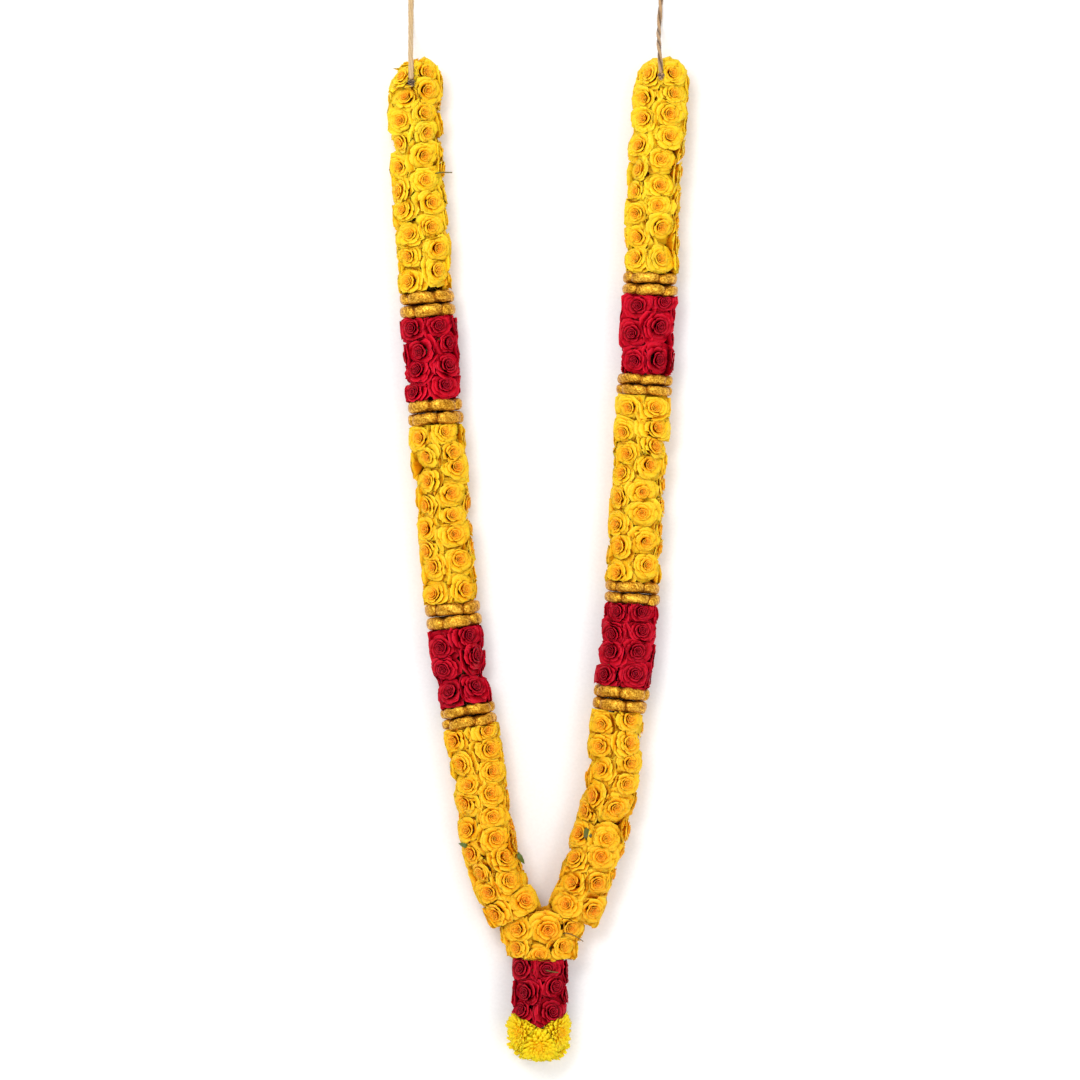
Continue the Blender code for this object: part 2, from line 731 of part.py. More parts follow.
def build():
    """Makes the whole garland in an emptied scene."""
    for old in list(bpy.data.objects):
        bpy.data.objects.remove(old, do_unlink=True)
    lines = {"left": Line(CORE_ROUTE), "right": Line(CORE_ROUTE[::-1])}
    runs = {"left": LEFT_RUNS, "right": RIGHT_RUNS}
    middle = Vector((JUNCTION_MIDDLES[0], 0, 0))
    inner_side = {"left": Vector((1, 0, 0)), "right": Vector((-1, 0, 0))}
    rope_marks, strand_ends = {}, []
    for hand, line in lines.items():
        divide = Plane(middle - inner_side[hand] * GAP / 2, inner_side[hand])
        rope_marks[hand], lower_end = build_strand(hand, line, runs[hand], [divide])
        strand_ends.append(lower_end)

    pendant_line = Line(PENDANT_ROUTE)
    start, end = pendant_line.where_y(JUNCTION_FOOT), pendant_line.where_y(PENDANT_FOOT)
    pendant = StrandSleeve(pendant_line, start, end, PENDANT_FIRST_COLUMN)
    rose_run("red_roses_pendant", "red_petals", pendant, pendant.ends(), PENDANT_SEED)
    bound_stems("red_rose_stems_pendant", pendant)

    junction = JunctionSleeve(strand_ends, Plane(pendant_line.at(start), pendant_line.along(start)))
    rose_run("yellow_roses_junction", "yellow_petals", junction, junction.ends(), JUNCTION_SEED)

    whole = lines["left"]
    length = whole.marks[-1]
    left = [whole.where_y(ROPE_TOP), *rope_marks["left"][1:]]
    right = [length - mark for mark in [lines["right"].where_y(ROPE_TOP), *rope_marks["right"][1:]]]
    bend_step = (right[-1] - left[-1]) / BEND_STEPS
    bend = [left[-1] + bend_step * step for step in range(1, BEND_STEPS)]
    marks = [*left, *bend, *right[::-1]]
    rope("core_rope", [(whole.at(m), whole.along(m)) for m in marks], ROPE_RADIUS, "cotton_rope")

    marks = [ROPE_RADIUS + GAP, start, (start + end) / 2, end, pendant_line.marks[-1]]
    stations = [(pendant_line.at(mark), pendant_line.along(mark)) for mark in marks]
    rope("pendant_rope", stations, ROPE_RADIUS, "cotton_rope")

    blooms = {}
    for name, y, angle, lean in CHRYSANTHEMUMS:
        mark = pendant_line.where_y(y * MM)
        along = pendant_line.along(mark)
        side = UP.cross(along)
        angle, lean = math.radians(angle), math.radians(lean)
        level = side * math.sin(angle) + UP * math.cos(angle)
        outward = level * math.cos(lean) + along * math.sin(lean)
        root = pendant_line.at(mark) + level * (ROPE_RADIUS + 2 * GAP)
        down = (along - outward * along.dot(outward)).normalized()
        blooms[name] = (root, down, outward)
    above = Plane(Vector((0, PENDANT_FOOT - GAP / 2, 0)), Vector((0, 1, 0)))
    for name, (root, along, outward) in blooms.items():
        others = [r + o * CHRYSANTHEMUM_RIM for other, (r, _, o) in blooms.items() if other != name]
        chrysanthemum(f"chrysanthemum_{name}", root, along, outward, others, [above])

    for hand, finish in (("left", "straw_fibre"), ("right", "jute_twine")):
        tie_string(f"tie_string_{hand}", STRING_ROUTES[hand], finish)
        tie_knot(f"tie_knot_{hand}", STRING_ROUTES[hand], finish)


build()
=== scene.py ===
"""The looks of a rose garland laid flat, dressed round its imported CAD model.

Sizes are in metres. X is across the garland, Y runs along it towards its tie strings and Z is
up from the surface it lies on. The roses follow the same rule and seeds as the CAD model's.
"""
from __future__ import annotations

import json
import logging
import math
import random
from dataclasses import dataclass, field
from enum import Enum
from typing import Iterable, Protocol

import bpy
import numpy as np
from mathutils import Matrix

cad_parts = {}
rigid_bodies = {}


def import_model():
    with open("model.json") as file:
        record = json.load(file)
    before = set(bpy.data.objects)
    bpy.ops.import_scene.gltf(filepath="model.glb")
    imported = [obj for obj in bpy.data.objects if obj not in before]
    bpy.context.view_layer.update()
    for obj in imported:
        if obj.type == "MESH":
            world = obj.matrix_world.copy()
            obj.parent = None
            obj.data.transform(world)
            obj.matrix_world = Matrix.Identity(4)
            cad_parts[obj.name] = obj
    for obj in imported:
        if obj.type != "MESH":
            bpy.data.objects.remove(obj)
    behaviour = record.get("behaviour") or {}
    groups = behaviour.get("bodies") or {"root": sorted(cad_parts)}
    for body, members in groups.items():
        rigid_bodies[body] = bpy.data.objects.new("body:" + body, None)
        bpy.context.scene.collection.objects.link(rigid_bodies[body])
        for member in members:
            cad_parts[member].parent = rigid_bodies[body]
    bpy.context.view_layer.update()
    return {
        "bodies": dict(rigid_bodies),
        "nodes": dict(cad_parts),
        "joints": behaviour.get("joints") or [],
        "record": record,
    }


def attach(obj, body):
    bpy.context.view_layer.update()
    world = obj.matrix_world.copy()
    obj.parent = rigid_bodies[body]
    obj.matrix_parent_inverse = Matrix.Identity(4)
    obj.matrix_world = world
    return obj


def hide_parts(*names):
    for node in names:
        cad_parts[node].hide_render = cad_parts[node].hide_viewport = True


log = logging.getLogger("garland")

MM = 0.001
TURN = 2 * math.pi
UP = np.array((0.0, 0.0, 1.0))

# Cross-section of a strand, the gap between neighbouring pieces, the length over which a route's
# direction is evened, and how far petals reach past a strand's free end
STRAND_REACH = 31 * MM
AXIS_HEIGHT = 28 * MM
STEMS_RADIUS = 7.6 * MM
GAP = 0.3 * MM
EVENED = 3 * MM
FREE_END = 7 * MM

# The rule that places the roses. The stagger is its share at a run's ends and the growth with
# each row from there, the wander is in rows and round the rope, and the sway is the columns'
# turn to and fro and the rows in which it comes back.
ROW_PITCH = 25.5 * MM
STRAND_COLUMNS = 5
RIM_DEPTH = 4.5 * MM
STAGGER = (0.4, 0.35)
WANDER = (0.1, math.radians(6))
LEAN = math.radians(11)
END_LEAN = math.radians(20)
COLUMN_SWAY = (math.radians(10), 7.0)
SIZES = (0.88, 1.08)
ADDED_SIZE = 0.95

# The junction's oval: pairs are at its top and at its foot
JUNCTION_MIDDLES = (9 * MM, 6 * MM)
JUNCTION_FOOT = -436 * MM
JUNCTION_COLUMNS = 7
JUNCTION_ROWS = 2
JUNCTION_HALF_WIDTHS = (51 * MM, 37 * MM)
JUNCTION_HALF_DEPTH = 30 * MM
JUNCTION_FRONT_ROSE = 6
EVEN_SPREAD = 0.13
NOTCH = -391 * MM
JUNCTION_SEED = 29

# How walls between soft things waver: the slow and the quick wave in radians a metre, the slow
# one's phases, and the usual waver
WANDER_WAVES = (310.0, 570.0, np.array((0.4, 1.9, 3.1)))
WAVER = 2.2 * MM

# The pendant, and the lowest point and side slope of its red roses
PENDANT_FOOT = -504 * MM
PENDANT_FIRST_COLUMN = math.radians(17)
PENDANT_SEED = 2
HEM = (4 * MM, -512 * MM, 0.55)

# How far the pads turn from one stretch to the next, and between a band's two rings
GOLD_TURN = math.radians(20)
GOLD_SHIFT = math.radians(17)

# The ropes' courses along X and Y in mm
CORE_ROUTE = [
    (-134, 560), (-130, 464), (-126, 376), (-119, 288), (-113, 200), (-106, 112),
    (-97, 24), (-90, -64), (-78, -141), (-64, -224), (-53, -295), (-41, -345),
    (-21, -392), (-11, -408), (8, -417), (29, -408), (39, -392),
    (56, -345), (75, -290), (86, -224), (95, -141), (104, -64), (111, 35),
    (116, 123), (121, 211), (126, 299), (129, 376), (134, 464), (141, 560),
]
PENDANT_ROUTE = [(8, -420), (6.5, -436), (4, -507), (4, -537)]

# Where the largest blooms of the front are, and how much larger a rose near one of them is
BIG_ROSES = np.array([
    (-123, 515), (137, 498), (124, 405), (118, 173), (-46, -349), (13, -409), (7, -478),
]) * MM
BIG_NEAR = 14 * MM
BIG_SIZE = 1.18

Grid = np.ndarray
Colour = tuple[float, float, float]


class Hand(Enum):
    """The side of the garland that a strand is on, as the camera sees it."""

    LEFT = "left"
    RIGHT = "right"

    @property
    def inward(self) -> float:
        """The direction along X from this strand to the other one."""
        return 1.0 if self is Hand.LEFT else -1.0


class Part(Enum):
    """What a stretch of a strand is made of."""

    YELLOW = "yellow"
    RED = "red"
    GOLD = "gold"


@dataclass(frozen=True)
class Stretch:
    """One stretch of a strand: its part, label, top and foot along Y in mm, and its seed."""

    part: Part
    label: str
    top: float
    foot: float
    seed: int = 0


STRETCHES = {
    Hand.LEFT: (
        Stretch(Part.YELLOW, "upper", 544.5, 297, 140),
        Stretch(Part.GOLD, "1", 297, 268),
        Stretch(Part.RED, "upper", 268, 178, 2),
        Stretch(Part.GOLD, "2", 178, 150),
        Stretch(Part.YELLOW, "middle", 150, -45, 24),
        Stretch(Part.GOLD, "3", -45, -73),
        Stretch(Part.RED, "lower", -73, -157, 3),
        Stretch(Part.GOLD, "4", -157, -182),
        Stretch(Part.YELLOW, "lower", -182, -392, 36),
    ),
    Hand.RIGHT: (
        Stretch(Part.YELLOW, "upper", 545.5, 317, 7),
        Stretch(Part.GOLD, "1", 317, 292),
        Stretch(Part.RED, "upper", 292, 206, 4),
        Stretch(Part.GOLD, "2", 206, 182),
        Stretch(Part.YELLOW, "middle", 182, -22, 43),
        Stretch(Part.GOLD, "3", -22, -47),
        Stretch(Part.RED, "lower", -47, -137, 7),
        Stretch(Part.GOLD, "4", -137, -165),
        Stretch(Part.YELLOW, "lower", -165, -392, 42),
    ),
}
FIRST_COLUMN = {Hand.LEFT: math.radians(28), Hand.RIGHT: math.radians(26)}


# Shared geometry


def unit(vectors: Grid) -> Grid:
    """The vectors scaled to length one."""
    return vectors / np.maximum(np.linalg.norm(vectors, axis=-1, keepdims=True), 1e-12)


def smooth(value: Grid, low: float, high: float) -> Grid:
    """A smooth step: 0 below low, 1 above high, and 3t^2 - 2t^3 between them."""
    share = np.clip((value - low) / (high - low), 0, 1)
    return share * share * (3 - 2 * share)


def softened(inside: Grid, softness: float) -> Grid:
    """Distances to a limit kept above zero: one under the softness c becomes c * exp(d / c - 1)."""
    near = softness * np.exp(np.minimum(inside, softness) / softness - 1)
    return np.where(inside < softness, near, inside)


def joined(*parts: Grid) -> Grid:
    """Coordinates spread to one common shape and joined into points."""
    return np.stack(np.broadcast_arrays(*parts), axis=-1)


def turned(profile: Grid, sides: int) -> Grid:
    """A profile of radius and height, turned round into rings of points."""
    turn = TURN * np.arange(sides) / sides
    radius, height = profile[:, 0:1], profile[:, 1:2]
    return joined(radius * np.cos(turn), radius * np.sin(turn), height).reshape(-1, 3)


def leaf_outline(along: Grid, teeth: float, depth: float) -> Grid:
    """A leaf's half-width from 0 to 1, sin(pi v^0.8)^0.8 (1 + depth cos(teeth pi v)) at v."""
    return np.sin(math.pi * along ** 0.8) ** 0.8 * (1 + depth * np.cos(teeth * math.pi * along))


class Route:
    """A smooth line through control points, measured along its length."""

    STEPS = 16

    def __init__(self, controls: Grid) -> None:
        """Runs a Catmull-Rom curve through the controls.

        Args:
            controls: points in metres, one row each.
        """
        ends = np.vstack([2 * controls[0] - controls[1], controls, 2 * controls[-1] - controls[-2]])
        share = (np.arange(self.STEPS) / self.STEPS)[None, :, None]
        before, here, there, after = (ends[i:len(ends) - 3 + i, None, :] for i in range(4))
        curve = 0.5 * (
            2 * here
            + (there - before) * share
            + (2 * before - 5 * here + 4 * there - after) * share ** 2
            + (3 * here - before - 3 * there + after) * share ** 3
        )
        self.points = np.vstack([curve.reshape(-1, 3), controls[-1]])
        steps = np.linalg.norm(np.diff(self.points, axis=0), axis=1)
        self.marks = np.concatenate([[0.0], np.cumsum(steps)])

    def at(self, marks: Grid) -> Grid:
        """The points at distances along the line."""
        return np.stack([np.interp(marks, self.marks, column) for column in self.points.T], axis=-1)

    def along(self, marks: Grid) -> Grid:
        """The line's directions at distances along it."""
        marks = np.asarray(marks, dtype=float)
        return unit(self.at(marks + EVENED) - self.at(marks - EVENED))

    def mark_at_y(self, y: float) -> float:
        """The distance at which the line first comes down to y."""
        heights = self.points[:, 1]
        piece = int(np.argmax((heights[:-1] >= y) & (heights[1:] < y)))
        share = (heights[piece] - y) / (heights[piece] - heights[piece + 1])
        return float(self.marks[piece] + share * (self.marks[piece + 1] - self.marks[piece]))


def rope_line(course: list[tuple[float, float]]) -> Route:
    """The line of a rope that lies level, from its course along X and Y in mm."""
    return Route(np.array([(x * MM, y * MM, AXIS_HEIGHT) for x, y in course]))


def wander(points: Grid) -> Grid:
    """A smooth field of directions, whose coordinates each wave from -1 to 1 along the other axes."""
    slow, quick, phase = WANDER_WAVES
    waves = np.sin(points[..., [1, 2, 0]] * slow + phase)
    return 0.6 * waves + 0.4 * np.sin(points[..., [2, 0, 1]] * quick)


@dataclass(frozen=True)
class Wall:
    """A limit that soft things press against, flat or wavy by its waver in metres.

    Its normal points away from them. The wave is the same seen from both sides of it.
    """

    point: Grid
    normal: Grid
    waver: float = 0.0

    def pressed(self, points: Grid, softness: float, slack: Grid | float = 0.0) -> Grid:
        """Moves points back from the wall without folding them over, by softened distances.

        Args:
            points: any array of points.
            softness: the distance from the wall at which it is first felt.
            slack: how far each point may go past the wall.

        Returns:
            The moved points, in the same shape.
        """
        inside = (self.point - points + self.waver * wander(points)) @ self.normal + slack
        return points - (softened(inside, softness) - inside)[..., None] * self.normal


def pressed_by(walls: Iterable[Wall], points: Grid, softness: float, slack: Grid | float = 0.0) -> Grid:
    """The points pressed back from each wall in turn."""
    for wall in walls:
        points = wall.pressed(points, softness, slack)
    return points


GROUND = Wall(np.array((0.0, 0.0, 0.2 * MM)), -UP)
PENDANT_END = Wall(np.array((0.0, -549.5 * MM, 0.0)), np.array((0.0, -1.0, 0.0)), 0.6 * MM)


@dataclass(frozen=True)
class Dent:
    """The groove that a tie string and its knot press into the roses they lie on."""

    line: Route
    depth: float = 3.2 * MM
    slope: float = 0.11
    knot_reach: float = 7 * MM
    flowers_end: float = 556 * MM

    def pressed(self, points: Grid) -> Grid:
        """Lowers the points that would cover the string.

        At a distance d to the side of the string a point stays under the string's middle less
        the depth plus the slope times d^2, in mm.

        Args:
            points: any array of points.

        Returns:
            The moved points, in the same shape.
        """
        path = self.line.points[np.argsort(self.line.points[:, 1])]
        path = path[path[:, 1] < self.flowers_end]
        x = np.interp(points[..., 1], path[:, 1], path[:, 0])
        z = np.interp(points[..., 1], path[:, 1], path[:, 2])
        beside = (points[..., 0] - x) / MM
        limit = z - self.depth + self.slope * MM * beside ** 2
        over = (points[..., 1] > path[0, 1] - self.knot_reach) & (points[..., 2] > limit)
        lowered = points.copy()
        lowered[..., 2] = np.where(over, limit - 0.2 * (points[..., 2] - limit), points[..., 2])
        return lowered


def hem(side: int) -> Wall:
    """The lower limit of the pendant's red roses, which rises by a fixed share to both sides.

    Side -1 is its slant on the left, 1 its slant on the right and 0 a level line through its
    lowest point.
    """
    x, y, rise = HEM
    return Wall(np.array((x, y, AXIS_HEIGHT)), unit(np.array((side * rise, -1.0, 0.0))), WAVER)


class Sleeve(Protocol):
    """The room round a rope that a run of roses fills."""

    columns: int
    rows: int
    first_angle: float
    free_start: bool

    def angle(self, turn: float, row: float) -> float:
        """The angle from straight up of a rose with that turn and row."""

    def axes(self, row: float, angle: float) -> tuple[Grid, Grid]:
        """The directions along the rope and out from it."""

    def point(self, row: float, angle: float, depth: float) -> Grid:
        """The place at a depth below the tops of the roses."""

    def section(self, row: float) -> tuple[Grid, Grid, Grid]:
        """The middle of the room there, the two directions across it and its half sizes."""


class StrandSleeve:
    """The round room of a run of roses about a strand."""

    columns = STRAND_COLUMNS

    def __init__(self, line: Route, top: float, foot: float, first_angle: float,
                 free_start: bool = False) -> None:
        """Measures the run out along its line.

        Args:
            line: the strand's line.
            top, foot: where the run begins and ends along Y.
            first_angle: the angle of the first column from straight up.
            free_start: whether the run begins at the strand's free end.
        """
        self.line, self.first_angle, self.free_start = line, first_angle, free_start
        self.start, self.end = line.mark_at_y(top), line.mark_at_y(foot)
        self.rows = max(1, round((self.end - self.start) / ROW_PITCH))
        self.pitch = (self.end - self.start) / self.rows

    def mark(self, row: float) -> float:
        """The distance along the line at a row."""
        return self.start + row * self.pitch

    def angle(self, turn: float, row: float) -> float:
        """A column's angle there, as the columns wind to and fro."""
        sway, rows = COLUMN_SWAY
        return turn + sway * math.sin(TURN * row / rows)

    def axes(self, row: float, angle: float) -> tuple[Grid, Grid]:
        """The directions along the strand and out from it."""
        along = self.line.along(self.mark(row))
        return along, np.cross(UP, along) * math.sin(angle) + UP * math.cos(angle)

    def point(self, row: float, angle: float, depth: float) -> Grid:
        """The place at a depth below the tops of the roses."""
        return self.line.at(self.mark(row)) + self.axes(row, angle)[1] * (STRAND_REACH - depth)

    def section(self, row: float) -> tuple[Grid, Grid, Grid]:
        """The middle of the strand there, the two directions across it and its half sizes."""
        side = np.cross(UP, self.line.along(self.mark(row)))
        return self.line.at(self.mark(row)), np.stack([side, UP]), np.array((STRAND_REACH, STRAND_REACH))

    def walls(self) -> list[Wall]:
        """The planes across the strand that the run keeps between."""
        first, last = self.line.along(self.start), self.line.along(self.end)
        ahead = FREE_END if self.free_start else -GAP
        waver = 3 * WAVER if self.free_start else WAVER
        begin = Wall(self.line.at(self.start) - first * ahead, -first, waver)
        return [begin, Wall(self.line.at(self.end) - last * GAP, last, WAVER)]

    def end_wall(self) -> Wall:
        """The plane across the strand where the run ends."""
        return Wall(self.line.at(self.end), self.line.along(self.end))

    def end_rose(self) -> RoseSeat:
        """A rose that faces out of the strand's free end and closes it."""
        out = -self.line.along(self.start)
        return facing_rose(self.line.at(self.start) + out * (FREE_END - MM), out, 0.4)


class JunctionSleeve:
    """The oval room of the roses where the strands meet."""

    columns = JUNCTION_COLUMNS
    rows = JUNCTION_ROWS
    first_angle = -JUNCTION_FRONT_ROSE * 2 * TURN / JUNCTION_COLUMNS
    free_start = False

    def __init__(self, roofs: list[Wall], floor: Wall) -> None:
        """Fits the oval between the strands' ends and the pendant's top."""
        self.roofs, self.floor = roofs, floor

    @staticmethod
    def level(wall: Wall, x: float) -> float:
        """The place along Y at which an upright plane stands at x."""
        return wall.point[1] - (x - wall.point[0]) * wall.normal[0] / wall.normal[1]

    def between(self, row: float, pair: tuple[float, float]) -> float:
        """The value at that row, of a pair that holds it for the top and for the foot."""
        return pair[0] + (pair[1] - pair[0]) * row / self.rows

    def angle(self, turn: float, row: float) -> float:
        """The turn, evened out round the oval."""
        return turn - EVEN_SPREAD * math.sin(2 * turn)

    def axes(self, row: float, angle: float) -> tuple[Grid, Grid]:
        """The directions down the junction and out from it."""
        width = self.between(row, JUNCTION_HALF_WIDTHS)
        outward = np.array((math.sin(angle) * JUNCTION_HALF_DEPTH, 0.0, math.cos(angle) * width))
        return np.array((0.0, -1.0, 0.0)), unit(outward)

    def point(self, row: float, angle: float, depth: float) -> Grid:
        """The place at a depth below the tops of the roses."""
        across = (self.between(row, JUNCTION_HALF_WIDTHS) - depth) * math.sin(angle)
        x = self.between(row, JUNCTION_MIDDLES) + across
        roof = min(self.level(wall, x) for wall in self.roofs)
        y = self.between(row, (roof, self.level(self.floor, x)))
        return np.array((x, y, AXIS_HEIGHT + (JUNCTION_HALF_DEPTH - depth) * math.cos(angle)))

    def section(self, row: float) -> tuple[Grid, Grid, Grid]:
        """The middle of the junction there, the two directions across it and its half sizes."""
        middle = np.array((self.between(row, JUNCTION_MIDDLES), 0.0, AXIS_HEIGHT))
        halves = np.array((self.between(row, JUNCTION_HALF_WIDTHS), JUNCTION_HALF_DEPTH))
        return middle, np.array(((1.0, 0.0, 0.0), UP)), halves

    def end_rose(self) -> RoseSeat:
        """A rose that faces up between the strands and closes the notch there."""
        top = np.array((JUNCTION_MIDDLES[0], NOTCH, AXIS_HEIGHT))
        return facing_rose(top, np.array((0.0, 1.0, 0.0)), 0.6)

    def walls(self) -> list[Wall]:
        """The planes that the junction keeps between."""
        roofs = [Wall(wall.point + wall.normal * GAP, -wall.normal, WAVER) for wall in self.roofs]
        return [*roofs, Wall(self.floor.point - self.floor.normal * GAP, self.floor.normal, WAVER)]


@dataclass
class RoseSeat:
    """One rose's place: the top of its bud, its axes, size, own number from 0 to 1 and row."""

    top: Grid
    axes: Grid
    size: float
    chance: float
    row: float

    @property
    def rim(self) -> Grid:
        """The middle of the rose at the depth of its rim."""
        return self.top - self.axes[2] * RIM_DEPTH


def facing_rose(top: Grid, out: Grid, chance: float) -> RoseSeat:
    """The seat of a rose added at an end, which faces out level with its first axis up."""
    return RoseSeat(top, np.stack([UP, np.cross(out, UP), out]), ADDED_SIZE, chance, 0.0)


def rose_seats(sleeve: Sleeve, seed: int) -> list[RoseSeat]:
    """Places the roses of a run by the CAD model's rule.

    They follow a helix of two turns for each row, so neighbouring columns are staggered. The
    draws are made in the same order, for the spare rows past both ends too.

    Args:
        sleeve: the room that the run fills.
        seed: the run's seed.

    Returns:
        The run's seats in order.
    """
    rng = random.Random(seed)
    columns = sleeve.columns
    seats = []
    for number in range(-columns, (sleeve.rows + 1) * columns):
        row, order = divmod(number, columns)
        from_end = max(0, min(row, sleeve.rows - 1 - row))
        fade = min(1, STAGGER[0] + STAGGER[1] * from_end)
        stagger = (order - (columns - 1) / 2) / columns * fade
        turn = sleeve.first_angle + number * 2 * TURN / columns
        stray = [limit * rng.uniform(-1, 1) for limit in WANDER]
        lean = [LEAN * rng.uniform(-1, 1) for _ in range(2)]
        if sleeve.free_start and row == 0:
            lean[0] -= END_LEAN
        size = rng.uniform(*SIZES)
        if not 0 <= number < sleeve.rows * columns:
            continue
        place = row + 0.5 + stagger + stray[0]
        angle = sleeve.angle(math.remainder(turn, TURN), place) + stray[1]
        along, outward = sleeve.axes(place, angle)
        around = np.cross(outward, along)
        outward = unit(outward + along * math.tan(lean[0]) + around * math.tan(lean[1]))
        along = unit(along - outward * (along @ outward))
        axes = np.stack([along, np.cross(outward, along), outward])
        chance = (number * 0.618 + seed * 0.37) % 1
        seats.append(RoseSeat(sleeve.point(place, angle, 0), axes, size, chance, place))
    return seats


# Meshes


def sheet_faces(rows: int, columns: int) -> Grid:
    """The faces of a thin closed sheet of two sides, each a grid of rows by columns of points.

    The first side faces along d/dcolumn x d/drow, the second side the other way, and a strip of
    faces joins them all round the edge.
    """
    number = np.arange(rows * columns).reshape(rows, columns)
    back = number + rows * columns
    front = np.stack([number[:-1, :-1], number[:-1, 1:], number[1:, 1:], number[1:, :-1]], axis=-1)
    behind = np.stack([back[:-1, :-1], back[1:, :-1], back[1:, 1:], back[:-1, 1:]], axis=-1)
    edge = np.concatenate([number[0, :], number[1:, -1], number[-1, -2::-1], number[-2::-1, 0]])
    here, there = edge[:-1], edge[1:]
    strip = np.stack([here, here + rows * columns, there + rows * columns, there], axis=-1)
    return np.concatenate([front.reshape(-1, 4), behind.reshape(-1, 4), strip])


def tube_faces(rings: int, sides: int, closed: bool = False) -> Grid:
    """The faces of a tube of rings of points, joined end to end if it is closed."""
    number = np.arange(rings * sides).reshape(rings, sides)
    if closed:
        number = np.vstack([number, number[:1]])
    beside = np.roll(number, -1, axis=1)
    return np.stack([number[:-1], beside[:-1], beside[1:], number[1:]], axis=-1).reshape(-1, 4)


@dataclass
class Cloud:
    """Points, four-sided faces and what each point says of its place on a petal or a thread."""

    points: list[Grid] = field(default_factory=list)
    faces: list[Grid] = field(default_factory=list)
    tints: list[Grid] = field(default_factory=list)
    maps: list[Grid] = field(default_factory=list)
    caps: list[list[int]] = field(default_factory=list)
    count: int = 0

    def add(self, points: Grid, faces: Grid, tints: Grid, maps: Grid) -> int:
        """Adds copies of one shape.

        Args:
            points: copies x points x 3.
            faces: the faces of one copy.
            tints: copies x points x 4: openness, reach, chance and light, each from 0 to 1.
            maps: copies x points x 2, the UV map.

        Returns:
            The number of the first point.
        """
        copies, each = points.shape[:2]
        first = self.count
        offsets = first + each * np.arange(copies)[:, None, None]
        self.points.append(points.reshape(-1, 3))
        self.faces.append((faces[None] + offsets).reshape(-1, 4))
        self.tints.append(np.broadcast_to(tints, (copies, each, 4)).reshape(-1, 4))
        self.maps.append(np.broadcast_to(maps, (copies, each, 2)).reshape(-1, 2))
        self.count += copies * each
        return first

    def tubes(self, points: Grid, rings: int, sides: int, tints: Grid, maps: Grid,
              against: bool = False) -> None:
        """Adds copies of a tube and closes both its ends with one face each.

        Args:
            points: copies x (rings x sides) x 3.
            rings: how many rings of points a tube has.
            sides: how many points a ring has.
            tints, maps: the same as for add.
            against: whether the rings run against the screw's turn about the tube's direction.
        """
        step = -1 if against else 1
        first = self.add(points, tube_faces(rings, sides)[:, ::step], tints, maps)
        for begin in range(first, self.count, rings * sides):
            last = begin + (rings - 1) * sides
            self.caps.append(list(range(begin, begin + sides))[::-step])
            self.caps.append(list(range(last, last + sides))[::step])

    def piece(self, name: str, material: bpy.types.Material) -> bpy.types.Object:
        """Makes the mesh object, its point colours and its UV map."""
        points, faces = np.concatenate(self.points), np.concatenate(self.faces)
        mesh = bpy.data.meshes.new(name)
        lengths = [4] * len(faces) + [len(ring) for ring in self.caps]
        starts = np.cumsum([0, *lengths[:-1]])
        loops = np.concatenate([faces.ravel(), *self.caps]).astype(np.int32)
        mesh.vertices.add(len(points))
        mesh.vertices.foreach_set("co", points.astype(np.float32).ravel())
        mesh.loops.add(len(loops))
        mesh.loops.foreach_set("vertex_index", loops)
        mesh.polygons.add(len(starts))
        mesh.polygons.foreach_set("loop_start", starts.astype(np.int32))
        mesh.update(calc_edges=True)
        mesh.validate()
        tints = np.concatenate(self.tints).astype(np.float32)
        mesh.color_attributes.new("bloom", "FLOAT_COLOR", "POINT").data.foreach_set("color", tints.ravel())
        maps = np.concatenate(self.maps)[loops].astype(np.float32)
        mesh.uv_layers.new(name="surface").data.foreach_set("uv", maps.ravel())
        mesh.polygons.foreach_set("use_smooth", np.ones(len(starts), dtype=bool))
        mesh.materials.append(material)
        made = bpy.data.objects.new(name, mesh)
        bpy.context.scene.collection.objects.link(made)
        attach(made, "root")
        return made


def thickened(surface: Grid, thickness: Grid | float) -> Grid:
    """Turns grids of points into both sides of thin sheets.

    Each point moves half the thickness along the normal, which is d/dcolumn x d/drow.

    Args:
        surface: copies x rows x columns x 3.
        thickness: in metres, one number or one for each grid point.

    Returns:
        copies x (2 x rows x columns) x 3, in the order of sheet_faces.
    """
    normal = unit(np.cross(np.gradient(surface, axis=2), np.gradient(surface, axis=1)))
    half = normal * np.asarray(thickness)[..., None] / 2
    both = np.stack([surface + half, surface - half], axis=1)
    return both.reshape(len(surface), -1, 3)


def facing_out(sheets: Grid, faces: Grid) -> Grid:
    """Swaps the two sides of each sheet that was turned inside out when it was pressed."""
    corners = sheets[:, faces]
    first, second, third, fourth = (corners[:, :, i] for i in range(4))
    volumes = (first * (np.cross(second, third) + np.cross(third, fourth))).sum(axis=(1, 2))
    righted = sheets.copy()
    righted[volumes < 0] = np.roll(sheets[volumes < 0], sheets.shape[1] // 2, axis=1)
    return righted


# Finishes


